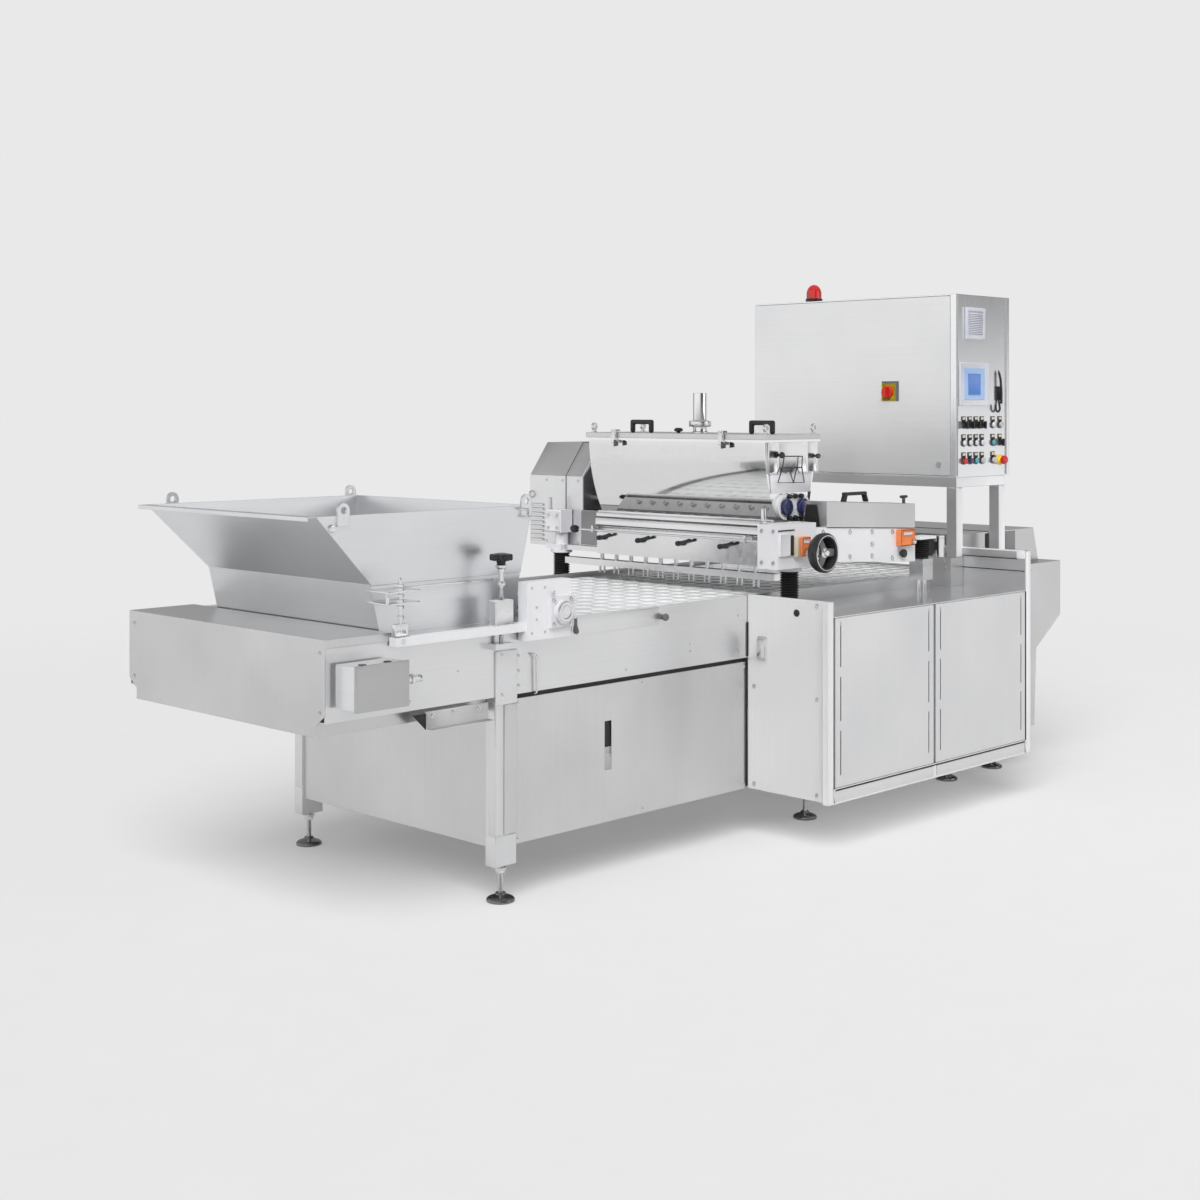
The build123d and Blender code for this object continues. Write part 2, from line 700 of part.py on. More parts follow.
def cabinet_door(door_x):
    with BuildPart() as door:
        box(door_x, (door_front_y, door_back_y), (door_low_z, door_top_z))
        box((door_x[0] + 2 * door_edge, door_x[1] - 2 * door_edge), (door_front_y + sheet, door_back_y),
            (door_low_z + 2 * door_edge, door_top_z - 2 * door_edge), Mode.SUBTRACT)
        for slot_x in (door_x[0] + door_slot_inset, door_x[1] - door_slot_inset):
            for slot_z in door_slot_spans:
                box((slot_x - door_slot_width / 2, slot_x + door_slot_width / 2),
                    (door_front_y, door_front_y + sheet), slot_z, Mode.SUBTRACT)
        rod_z(door_x[0] + door_pin_inset, pin_y,
              (plinth_top_z - 2 * door_pin_radius + running_gap, cabinet_top_z - running_gap),
              door_pin_radius)
    return door


pieces["cabinet_door_left"] = cabinet_door(left_door_x)
pieces["cabinet_door_right"] = cabinet_door(right_door_x)

end_panel_x = (cabinet_x[1], cabinet_x[1] + end_panel_width)
with BuildPart() as cabinet_end_panel:
    box(end_panel_x, (door_front_y, door_front_y + end_post), (cabinet_low_z, end_panel_top_z))
    box(end_panel_x, (door_front_y, near_face), (end_panel_top_z - end_rail, end_panel_top_z))
    box((end_panel_x[0], end_panel_x[0] + 2 * sheet), (door_front_y, near_face),
        (cabinet_low_z, end_panel_top_z))
pieces["cabinet_end_panel"] = cabinet_end_panel

# Electrical cabinet, door and main switch
edoor_x = (ecab_x[0], ecab_x[0] + edoor_thickness)
edoor_y = (ecab_y[0] + ecab_strip + door_gap, ecab_y[1])
edoor_z = (ecab_z[0] + ecab_roof + door_gap, ecab_z[1] - ecab_roof - door_gap)
edoor_pin = (edoor_x[1] - edoor_pin_inset, edoor_y[1] - edoor_pin_inset)
with BuildPart() as electrical_cabinet:
    box(ecab_x, ecab_y, ecab_z)
    box((ecab_x[0] + ecab_wall, ecab_x[1] - ecab_wall), (ecab_y[0] + ecab_wall, ecab_y[1] - ecab_wall),
        (ecab_z[0] + ecab_roof, ecab_z[1] - ecab_roof), Mode.SUBTRACT)
    box((ecab_x[0], ecab_x[0] + edoor_recess), (ecab_y[0] + ecab_strip, ecab_y[1]),
        (ecab_z[0] + ecab_roof, ecab_z[1] - ecab_roof), Mode.SUBTRACT)
    for pin_z in ((ecab_z[0] + door_gap, ecab_z[0] + ecab_roof),
                  (ecab_z[1] - ecab_roof, ecab_z[1] - door_gap)):
        rod_z(edoor_pin[0], edoor_pin[1], pin_z, door_pin_radius + shaft_gap, Mode.SUBTRACT)
pieces["electrical_cabinet"] = electrical_cabinet

with BuildPart() as electrical_door:
    box(edoor_x, edoor_y, edoor_z)
    box((edoor_x[0] + sheet, edoor_x[1]), (edoor_y[0] + 2 * edoor_thickness, edoor_y[1] - 2 * edoor_thickness),
        (edoor_z[0] + 2 * edoor_thickness, edoor_z[1] - 2 * edoor_thickness), Mode.SUBTRACT)
    rod_z(edoor_pin[0], edoor_pin[1], (ecab_z[0] + door_gap + running_gap, ecab_z[1] - door_gap - running_gap),
          door_pin_radius)
    rod_x(switch_y, switch_z, (edoor_x[0], edoor_x[0] + sheet), cap_radius, Mode.SUBTRACT)
pieces["electrical_door"] = electrical_door

switch_face_x = edoor_x[0] - switch_plate_thickness
with BuildPart() as main_switch_plate:
    box((switch_face_x, edoor_x[0]), (switch_y - switch_plate / 2, switch_y + switch_plate / 2),
        (switch_z - switch_plate / 2, switch_z + switch_plate / 2))
    rod_x(switch_y, switch_z, (switch_face_x, edoor_x[0]), cap_radius, Mode.SUBTRACT)
pieces["main_switch_plate"] = main_switch_plate

with BuildPart() as main_switch_knob:
    knob_x = (switch_face_x - running_gap - switch_knob_length, switch_face_x - running_gap)
    rod_x(switch_y, switch_z, ((knob_x[0] + knob_x[1]) / 2, knob_x[1]), switch_knob_radius)
    box(knob_x, (switch_y - switch_knob_radius / 3, switch_y + switch_knob_radius / 3),
        (switch_z - switch_knob_radius * 0.9, switch_z + switch_knob_radius * 0.9))
    rod_x(switch_y, switch_z, (knob_x[1], edoor_x[0] + sheet), cap_radius - running_gap)
pieces["main_switch_knob"] = main_switch_knob

with BuildPart() as beacon:
    rod_z(beacon_x, beacon_y, (ecab_z[1], ecab_z[1] + beacon_base_height), beacon_base_radius)
    rod_z(beacon_x, beacon_y, (ecab_z[1] + beacon_base_height, ecab_z[1] + beacon_height), beacon_radius)
    fillet(beacon.faces().sort_by(Axis.Z)[-1].edges(), beacon_radius * 0.8)
pieces["beacon"] = beacon

panel_y = ecab_y[0]
with BuildPart() as panel_fittings:
    box(grille_x, (panel_y - grille_depth, panel_y), grille_z)
    chamfer(panel_fittings.faces().sort_by(Axis.Y)[0].edges(), grille_depth / 2)
    box(hmi_x, (panel_y - hmi_depth, panel_y), hmi_z)
pieces["panel_fittings"] = panel_fittings


def control_place(place):
    return control_xs[place[0]], control_zs[place[1]]


bezel_y = (panel_y - bezel_depth, panel_y)
with BuildPart() as control_bezels:
    for place in (*selectors.values(), *buttons.values(), *lamps):
        x, z = control_place(place)
        rod_y(x, z, bezel_y, bezel_radius)
    for place in (*selectors.values(), *buttons.values()):
        x, z = control_place(place)
        rod_y(x, z, bezel_y, cap_radius + running_gap, Mode.SUBTRACT)
    for place in lamps:
        x, z = control_place(place)
        rod_y(x, z, (bezel_y[0] - cap_travel, bezel_y[0]), cap_radius)
    for place in (*selectors.values(), *buttons.values(), *lamps):
        x, z = control_place(place)
        box((x - label_size[0] / 2, x + label_size[0] / 2), (panel_y - label_size[2], panel_y),
            (z + label_lift - label_size[1] / 2, z + label_lift + label_size[1] / 2))
    x, z = control_place(estop_place)
    rod_y(x, z, bezel_y, estop_base_radius)
    rod_y(x, z, bezel_y, estop_stem_radius + running_gap, Mode.SUBTRACT)
pieces["control_bezels"] = control_bezels

for name, place in selectors.items():
    x, z = control_place(place)
    with BuildPart() as selector:
        rod_y(x, z, (bezel_y[0] - cap_travel, panel_y - running_gap), cap_radius)
        box((x - cap_radius / 3, x + cap_radius / 3), (bezel_y[0] - cap_height, bezel_y[0] - cap_travel),
            (z - cap_radius * 1.3, z + cap_radius * 1.3))
    pieces[name] = selector

for name, place in buttons.items():
    x, z = control_place(place)
    with BuildPart() as button:
        rod_y(x, z, (bezel_y[0] - cap_travel - running_gap, panel_y - cap_travel - running_gap), cap_radius)
    pieces[name] = button

with BuildPart() as estop_button:
    x, z = control_place(estop_place)
    mushroom_y = bezel_y[0] - estop_travel - running_gap
    rod_y(x, z, (mushroom_y, panel_y - estop_travel - running_gap), estop_stem_radius)
    rod_y(x, z, (mushroom_y - estop_radius, mushroom_y), estop_radius)
    fillet(estop_button.faces().sort_by(Axis.Y)[0].edges(), estop_radius / 2)
pieces["estop_button"] = estop_button

# Portal that carries the electrical cabinet over the conveyor
portal_y = (ecab_y[0], far(ecab_y[0]))
portal_front_x = (ecab_x[0], ecab_x[0] + portal_tube)
portal_rear = (portal_rear_x, portal_rear_x + portal_tube)
beam_z = (ecab_z[0] - portal_beam, ecab_z[0])
portal_near = (portal_y[0], portal_y[0] + portal_tube)
portal_far = (portal_y[1] - portal_tube, portal_y[1])
with BuildPart() as portal_frame:
    for beam_x in (portal_front_x, portal_rear):
        box(beam_x, portal_y, beam_z)
    for beam_y in (portal_near, portal_far):
        box((portal_front_x[0], portal_rear[1]), beam_y, beam_z)
        box(portal_front_x, beam_y, (portal_base_top_z, beam_z[0]))
        box(portal_rear, beam_y, (housing_top_z, beam_z[0]))
    base_x = (portal_base_x, portal_front_x[1])
    base_out_y = portal_y[0] - portal_base_lap
    base_in_y = near_face + portal_base_overhang
    for low, step in (((base_out_y, near_face), (base_out_y, base_in_y)),
                      ((far_face, far(base_out_y)), (far(base_in_y), far(base_out_y)))):
        box(base_x, low, (cabinet_top_z, portal_base_step_z))
        box(base_x, step, (portal_base_step_z, portal_base_top_z))
pieces["portal_frame"] = portal_frame

# Discharge housing round the drive end, with the raised hood over the plates
housing_y = (near_face - housing_overhang, far_face + housing_overhang)
housing_outline = ((housing_x[0], housing_low_z), (housing_foot_x, housing_low_z), housing_throat,
                   (housing_x[1], housing_nose_z), (housing_x[1], housing_top_z), (housing_x[0], housing_top_z))
housing_inside = ((housing_x[0], housing_low_z), (housing_foot_x - sheet, housing_low_z),
                  (housing_throat[0] - sheet, housing_throat[1] + sheet),
                  (housing_x[1] - sheet, housing_nose_z + sheet),
                  (housing_x[1] - sheet, housing_top_z - sheet), (housing_x[0], housing_top_z - sheet))
hood_outline = ((hood_x[0], housing_top_z), (hood_x[0], hood_top_z), (hood_x[1], hood_top_z),
                (hood_x[1] + hood_flare, housing_top_z))
hood_inside = ((hood_x[0], housing_top_z), (hood_x[0], hood_top_z - sheet),
               (hood_x[1] - sheet, hood_top_z - sheet), (hood_x[1] + hood_flare - sheet, housing_top_z))
with BuildPart() as discharge_housing:
    prism(housing_outline, housing_y)
    prism(housing_inside, (housing_y[0] + sheet, housing_y[1] - sheet), Mode.SUBTRACT)
    prism(hood_outline, (near_face, far_face))
    prism(hood_inside, (near_face + sheet, far_face - sheet), Mode.SUBTRACT)
    box((housing_x[0], hood_x[1]), (near_face + sheet, far_face - sheet),
        (housing_top_z - sheet, housing_top_z), Mode.SUBTRACT)
    box((housing_x[1] - sheet, housing_x[1]), (near_face + sheet, far_face - sheet), exit_z, Mode.SUBTRACT)
    for wing in ((housing_y[0], near_face), (far_face, housing_y[1])):
        box((housing_x[0], housing_x[0] + sheet), wing, (housing_low_z, housing_top_z))
pieces["discharge_housing"] = discharge_housing

# Lift columns with bellows, and the rear guide
column_y = near_face - column_out
guide_y = near_face - guide_out
rear_guide_x = drive_end_x + rear_guide_from_end
with BuildPart() as lift_columns:
    bracket_y = (far_face, far_face + column_bracket[1])
    box((column_x - column_bracket[0] / 2, column_x + column_bracket[0] / 2), bracket_y,
        (cabinet_top_z - column_bracket[2], cabinet_top_z))
    for y in (column_y, far(column_y)):
        rod_z(column_x, y, (cabinet_top_z, cabinet_top_z + column_flange), column_flange_radius)
        rod_z(column_x, y, (cabinet_top_z, column_top_z), column_radius)
    for x in (rear_guide_x - rear_rod_pitch / 2, rear_guide_x + rear_rod_pitch / 2):
        rod_z(x, guide_y, (cabinet_top_z, rear_block_z[0]), rear_rod_radius)
    box((rear_guide_x - rear_block_size[0] / 2, rear_guide_x + rear_block_size[0] / 2),
        (guide_y - rear_block_size[1] / 2, guide_y + rear_block_size[1] / 2), rear_block_z)
    rod_z(rear_guide_x, guide_y, rear_block_z, rear_guide_radius + shaft_gap, Mode.SUBTRACT)
pieces["lift_columns"] = lift_columns


def bellows(x, ys, span, outer_radius, root_radius, ribs):
    step = (span[1] - span[0]) / ribs
    outer = [(root_radius, span[0])]
    for rib in range(ribs):
        outer.append((outer_radius, span[0] + (rib + 0.5) * step))
        outer.append((root_radius, span[0] + (rib + 1) * step))
    inner = [(radius - bellows_wall, z) for radius, z in reversed(outer)]
    with BuildPart() as sleeve:
        for y in ys:
            with BuildSketch(side_plane(y)) as section:
                with BuildLine():
                    Polyline(*[(x + radius, z) for radius, z in outer + inner], close=True)
                make_face()
            revolve(section.sketch, axis=Axis((x, y, 0), (0, 0, 1)))
    return sleeve


pieces["column_bellows"] = bellows(column_x, (column_y, far(column_y)),
                                   (cabinet_top_z + column_flange, block_z[0] - running_gap),
                                   bellows_radius, bellows_root_radius, bellows_ribs)
pieces["rear_bellows"] = bellows(rear_guide_x, (guide_y,), (rear_block_z[1], guide_plate_z[0] - running_gap),
                                 rear_bellows_radius, rear_bellows_root_radius, rear_bellows_ribs)

# Injector head: column blocks, gear plate and bearing housing
near_block_y = (near_face - block_out[1], near_face - block_out[0])
far_block_y = (far(near_block_y[1]), far(near_block_y[0]))
gear_plate_y = (manifold_far_y, manifold_far_y + gear_plate_thickness)
gear_cover_x = (far_block_x[1] + gear_cover_gap, gear_cover_end_x)
gear_cover_outline = ((gear_cover_x[0], gear_cover_z[0]), (gear_cover_x[1], gear_cover_z[0]),
                      (gear_cover_x[1], gear_cover_z[1]),
                      (gear_cover_x[0] + gear_cover_brow[0], gear_cover_z[1]),
                      (gear_cover_x[0], gear_cover_z[1] - gear_cover_brow[1]))
gear_cover_far_y = gear_plate_y[1] + gear_cover_depth
gear_y = (gear_plate_y[1] + gear_offset, gear_plate_y[1] + gear_offset + gear_width)
housing_near_y = trough_y[0] - bearing_housing_depth
with BuildPart() as head_frame:
    box(block_x, near_block_y, block_z)
    box(far_block_x, far_block_y, (far_block_low_z, block_z[1]))
    box(far_block_x, far_block_y, (block_z[0], block_z[0] + far_flange))
    rod_z(column_x, far(column_y), (block_z[0], far_block_low_z), far_sleeve_radius)
    for y in (column_y, far(column_y)):
        rod_z(column_x, y, block_z, column_radius + shaft_gap, Mode.SUBTRACT)
    rod_y(wheel_x, wheel_z, (near_block_y[0], near_block_y[0] + wheel_shaft_engagement),
          wheel_shaft_radius + shaft_gap, Mode.SUBTRACT)
    prism(gear_cover_outline, gear_plate_y)
    for x in feed_roller_xs:
        rod_y(x, feed_roller_z, (housing_near_y, trough_y[0]), bearing_housing_radius)
    box(feed_roller_xs, (housing_near_y, trough_y[0]),
        (feed_roller_z - bearing_housing_radius, feed_roller_z + bearing_housing_radius))
    for x in feed_roller_xs:
        rod_y(x, feed_roller_z, (housing_near_y, gear_plate_y[1]), feed_shaft_radius + shaft_gap, Mode.SUBTRACT)
pieces["head_frame"] = head_frame

with BuildPart() as manifold:
    front_x = (manifold_x[0], manifold_x[0] + manifold_front)
    front_far_y = far_face - manifold_front_inset
    tie_start_x = front_x[1] - manifold_tie[0]
    box((front_x[1], manifold_x[1]), (manifold_near_y, manifold_far_y), (manifold_low_z, block_z[1]))
    box(front_x, (near_block_y[1], front_far_y), (manifold_low_z, block_z[1]))
    box((tie_start_x, front_x[1]), (front_far_y, far_block_y[0]),
        (manifold_low_z, manifold_low_z + manifold_tie[1]))
    box((front_x[1] + manifold_wall, manifold_x[1] - manifold_wall),
        (manifold_near_y + manifold_wall, manifold_far_y - manifold_wall),
        (manifold_low_z, block_z[1] - manifold_wall), Mode.SUBTRACT)
    slot_middle = (feed_roller_xs[0] + feed_roller_xs[1]) / 2
    box((slot_middle - trough_slot / 2, slot_middle + trough_slot / 2),
        (trough_y[0] + trough_slot, trough_y[1] - trough_slot),
        (block_z[1] - manifold_wall, block_z[1]), Mode.SUBTRACT)
    for y in lever_ys:
        rod_x(y, lever_z, (manifold_x[0], manifold_x[0] + lever_pin_length + running_gap),
              lever_pin_radius + shaft_gap, Mode.SUBTRACT)
pieces["manifold"] = manifold

with BuildPart() as nozzle_bar:
    box((nozzle_x - nozzle_bar_width / 2, nozzle_x + nozzle_bar_width / 2),
        (near_face - nozzle_bar_reach[0], far_face + nozzle_bar_reach[1]), nozzle_bar_z)
    for index in range(cavity_count - 1):
        y = first_cavity_y + index * cavity_pitch
        rod_z(nozzle_x, y, (nozzle_bar_z[1], manifold_low_z), nozzle_tube_radius)
        for offset_y in (-nozzle_pair / 2, nozzle_pair / 2):
            rod_z(nozzle_x, y + offset_y, (nozzle_tip_z, nozzle_bar_z[0]), nozzle_radius)
pieces["nozzle_bar"] = nozzle_bar

# Product trough with its feed rollers
trough_low_z = block_z[1]
rim_low_z = trough_top_z - trough_rim
hinge_z = trough_top_z + hinge_rise
hinge_x = trough_back_top_x + trough_rim + hinge_barrel_radius + hinge_clearance
with BuildPart() as product_hopper:
    with BuildSketch(side_plane(trough_y[0])) as trough_outline:
        with BuildLine():
            ThreePointArc((trough_front_top_x, trough_top_z), trough_front_mid,
                          (trough_front_low_x, trough_low_z))
            Polyline((trough_front_low_x, trough_low_z), (trough_back_low_x, trough_low_z),
                     (trough_back_top_x, trough_shoulder_z), (trough_back_top_x, trough_top_z),
                     (trough_front_top_x, trough_top_z))
        make_face()
    extrude(trough_outline.sketch, amount=-(trough_y[1] - trough_y[0]))
    box((trough_front_top_x - trough_rim, trough_back_top_x + trough_rim),
        (trough_y[0] - trough_rim, trough_y[1] + trough_rim), (rim_low_z, trough_top_z))
    with BuildSketch(side_plane(trough_y[0] + trough_end_wall)) as trough_inside:
        with BuildLine():
            ThreePointArc((trough_front_top_x + sheet, trough_top_z),
                          (trough_front_mid[0] + sheet, trough_front_mid[1]),
                          (trough_front_low_x + sheet, trough_low_z + sheet))
            Polyline((trough_front_low_x + sheet, trough_low_z + sheet),
                     (trough_back_low_x - sheet, trough_low_z + sheet),
                     (trough_back_top_x - sheet, trough_shoulder_z), (trough_back_top_x - sheet, trough_top_z),
                     (trough_front_top_x + sheet, trough_top_z))
        make_face()
    extrude(trough_inside.sketch, amount=-(trough_y[1] - trough_y[0] - 2 * trough_end_wall), mode=Mode.SUBTRACT)
    box((slot_middle - trough_slot / 2, slot_middle + trough_slot / 2),
        (trough_y[0] + trough_slot, trough_y[1] - trough_slot), (trough_low_z, trough_low_z + sheet),
        Mode.SUBTRACT)
    for x in feed_roller_xs:
        rod_y(x, feed_roller_z, trough_y, feed_shaft_radius + shaft_gap, Mode.SUBTRACT)
    ear_x = (trough_back_top_x, hinge_x + hinge_barrel_radius)
    for y in hinge_ys:
        for ear_y in ((y - hinge_half - 2 * hinge_ear, y - hinge_half - hinge_ear),
                      (y + hinge_half + hinge_ear, y + hinge_half + 2 * hinge_ear)):
            box(ear_x, ear_y, (rim_low_z, trough_top_z))
            box((hinge_x - hinge_barrel_radius + running_gap, ear_x[1]), ear_y,
                (rim_low_z, hinge_z + hinge_barrel_radius))
        rod_y(hinge_x, hinge_z, (y - hinge_half - hinge_ear, y + hinge_half + hinge_ear), hinge_pin_radius)
pieces["product_hopper"] = product_hopper

lid_low_z = trough_top_z + running_gap
lid_top_z = lid_low_z + lid_height
lid_x = (trough_front_top_x - lid_edge, trough_back_top_x + lid_edge)
lid_y = (trough_y[0] - lid_overhang, trough_y[1] + lid_overhang)
notch_x = hinge_x - 3 * hinge_barrel_radius
with BuildPart() as hopper_lid:
    box(lid_x, lid_y, (lid_low_z, lid_top_z))
    box((lid_x[0] + sheet, notch_x - sheet), (lid_y[0] + sheet, lid_y[1] - sheet),
        (lid_low_z, lid_top_z - sheet), Mode.SUBTRACT)
    for y in hinge_ys:
        box((notch_x, lid_x[1]), (y - hinge_half - 3 * hinge_ear, y + hinge_half + 3 * hinge_ear),
            (lid_low_z, lid_top_z), Mode.SUBTRACT)
        box((notch_x, hinge_x), (y - hinge_half, y + hinge_half),
            (hinge_z - hinge_pin_radius + running_gap, hinge_z + hinge_barrel_radius))
        rod_y(hinge_x, hinge_z, (y - hinge_half, y + hinge_half), hinge_barrel_radius)
        rod_y(hinge_x, hinge_z, (y - hinge_half, y + hinge_half), hinge_pin_radius + shaft_gap, Mode.SUBTRACT)
    rod_z(inlet_x, inlet_y, (lid_low_z, lid_top_z), inlet_radius, Mode.SUBTRACT)
pieces["hopper_lid"] = hopper_lid

with BuildPart() as lid_fittings:
    for y in handle_ys:
        grip = (handle_x - handle_thickness / 2, handle_x + handle_thickness / 2)
        box(grip, (y - handle_length / 2, y + handle_length / 2), (lid_top_z, lid_top_z + handle_height))
        box(grip, (y - handle_length / 2 + handle_thickness, y + handle_length / 2 - handle_thickness),
            (lid_top_z, lid_top_z + handle_height - handle_thickness), Mode.SUBTRACT)
    rod_z(inlet_x, inlet_y, (lid_top_z, inlet_top_z), inlet_radius)
    rod_z(inlet_x, inlet_y, (ferrule_z, ferrule_z + ferrule_height), ferrule_radius)
    rod_z(inlet_x, inlet_y, (lid_top_z, lid_top_z + sheet), ferrule_radius)
    rod_z(inlet_x, inlet_y, (lid_top_z, inlet_top_z), inlet_radius - inlet_wall, Mode.SUBTRACT)
pieces["lid_fittings"] = lid_fittings

gear_pitch_radius = (feed_roller_xs[1] - feed_roller_xs[0]) / 2


def gear_outline(x, turn):
    step = 2 * pi / gear_teeth
    rings = ((gear_pitch_radius - gear_dedendum, -0.27), (gear_pitch_radius + gear_addendum, -0.12),
             (gear_pitch_radius + gear_addendum, 0.12), (gear_pitch_radius - gear_dedendum, 0.27))
    points = []
    for tooth in range(gear_teeth):
        for radius, part in rings:
            angle = (tooth + part + turn) * step
            points.append((x + radius * cos(angle), feed_roller_z + radius * sin(angle)))
    return points


def feed_roller(x, turn, shaft_far_y):
    with BuildPart() as roller:
        prism(gear_outline(x, turn), gear_y)
        rod_y(x, feed_roller_z, (trough_y[0] + trough_end_wall + sheet, trough_y[1] - trough_end_wall - sheet),
              feed_roller_radius)
        rod_y(x, feed_roller_z, (feed_shaft_near_y, shaft_far_y), feed_shaft_radius)
    return roller


motor_y = gear_plate_y[1] + motor_offset
pieces["feed_roller_front"] = feed_roller(feed_roller_xs[0], 0.0, gear_y[1])
pieces["feed_roller_rear"] = feed_roller(feed_roller_xs[1], 0.5, motor_y - running_gap)

with BuildPart() as feed_motor:
    box(motor_flange, (motor_y, motor_y + motor_flange_thickness), motor_flange_z)
    rod_y(feed_roller_xs[1], feed_roller_z,
          (motor_y + motor_flange_thickness, motor_y + motor_flange_thickness + motor_length), motor_radius)
    for x in (motor_flange[0] + motor_post_inset, motor_flange[1] - motor_post_inset):
        for z in (motor_flange_z[0] + motor_post_inset, motor_flange_z[1] - motor_post_inset):
            rod_y(x, z, (gear_plate_y[1], motor_y), motor_post_radius)
pieces["feed_motor"] = feed_motor

with BuildPart() as gear_cover:
    cover_inside = ((gear_cover_x[0] + sheet, gear_cover_z[0]), (gear_cover_x[1] - sheet, gear_cover_z[0]),
                    (gear_cover_x[1] - sheet, gear_cover_z[1] - sheet),
                    (gear_cover_x[0] + gear_cover_brow[0] + sheet, gear_cover_z[1] - sheet),
                    (gear_cover_x[0] + sheet, gear_cover_z[1] - gear_cover_brow[1] - sheet))
    prism(gear_cover_outline, (gear_plate_y[1], gear_cover_far_y))
    prism(cover_inside, (gear_plate_y[1], gear_cover_far_y - sheet), Mode.SUBTRACT)
pieces["gear_cover"] = gear_cover

# Drive plate beside the head, its cover, handwheel and indicators
drive_y = (near_face - drive_out, near_face - drive_out + drive_thickness)
seam_slope = (drive_seam_z[1] - drive_seam_z[0]) / (drive_end_x - block_x[1])
cover_seam_z = drive_seam_z[0] + seam_slope * (drive_cover_x - block_x[1])
with BuildPart() as drive_plate:
    prism(((block_x[1], drive_low_z[0]), (drive_end_x, drive_low_z[1]), (drive_end_x, drive_seam_z[1]),
           (block_x[1], drive_seam_z[0])), drive_y)
    box((drive_end_x, drive_end_x + guide_plate_length),
        (guide_y - guide_plate_width / 2, guide_y + guide_plate_width / 2), guide_plate_z)
    rod_z(rear_guide_x, guide_y, (rear_block_z[1] - guide_rod_engagement, guide_plate_z[0]), rear_guide_radius)
pieces["drive_plate"] = drive_plate

with BuildPart() as drive_cover:
    cover_far_y = drive_y[0] + drive_cover_depth
    prism(((drive_cover_x, cover_seam_z), (drive_end_x, drive_seam_z[1]),
           (drive_end_x, drive_seam_z[1] + drive_cover_height),
           (drive_cover_x, cover_seam_z + drive_cover_height)), (drive_y[0], cover_far_y))
    prism(((drive_cover_x + sheet, cover_seam_z), (drive_end_x - sheet, drive_seam_z[1]),
           (drive_end_x - sheet, drive_seam_z[1] + drive_cover_height - sheet),
           (drive_cover_x + sheet, cover_seam_z + drive_cover_height - sheet)),
          (drive_y[0] + sheet, cover_far_y - sheet), Mode.SUBTRACT)
pieces["drive_cover"] = drive_cover

with BuildPart() as handwheel:
    with Locations(Location((wheel_x, wheel_y, wheel_z), (90, 0, 0))):
        Torus(wheel_radius, wheel_rim_radius)
    rod_y(wheel_x, wheel_z, (wheel_y - wheel_hub_length / 2, wheel_y + wheel_hub_length / 2), wheel_hub_radius)
    for spoke in range(spoke_count):
        with Locations(Location((wheel_x, wheel_y, wheel_z), (0, 360 / spoke_count * spoke, 0))):
            Box(wheel_radius, spoke_thickness, spoke_width, align=(Align.MIN, Align.CENTER, Align.CENTER))
    rod_y(wheel_x, wheel_z, (wheel_y, near_block_y[0] + wheel_shaft_engagement - running_gap),
          wheel_shaft_radius)
pieces["handwheel"] = handwheel

with BuildPart() as position_indicators:
    box((wheel_x - indicator_size[0] / 2, wheel_x + indicator_size[0] / 2),
        (near_block_y[0] - indicator_size[1], near_block_y[0]),
        (wheel_z + indicator_lift - indicator_size[2] / 2, wheel_z + indicator_lift + indicator_size[2] / 2))
    rod_y(wheel_x, wheel_z, (near_block_y[0] - indicator_size[1], near_block_y[0]),
          wheel_shaft_radius + running_gap, Mode.SUBTRACT)
    box(rear_indicator_x, (drive_y[0] - rear_indicator_depth, drive_y[0]), rear_indicator_z)
pieces["position_indicators"] = position_indicators

for index, y in enumerate(lever_ys, start=1):
    hub_x = (manifold_x[0] - running_gap - lever_hub_length, manifold_x[0] - running_gap)
    with BuildPart() as clamp_lever:
        rod_x(y, lever_z, hub_x, lever_hub_radius)
        rod_x(y, lever_z, (hub_x[1], manifold_x[0] + lever_pin_length), lever_pin_radius)
        with Locations(Location(((hub_x[0] + hub_x[1]) / 2, y, lever_z), (-lever_rise, 0, 0))):
            Box(lever_section[0], lever_length, lever_section[1],
                align=(Align.CENTER, Align.MAX, Align.CENTER))
    pieces[f"clamp_lever_{index}"] = clamp_lever

# Every solid is written in the row frame: the middle of the covered floor is the origin
machine_x = (rim_x[0] - rim_lip, housing_x[1])
machine_y = (door_front_y, gear_cover_far_y)
to_row = Location((-(machine_x[0] + machine_x[1]) / 2, -(machine_y[0] + machine_y[1]) / 2, 0))
for label, piece in pieces.items():
    solid = piece.part.moved(to_row)
    solid.label = label
    export_step(solid, f"parts/{label}.step")
print("pieces", len(pieces), "shift", to_row.position)
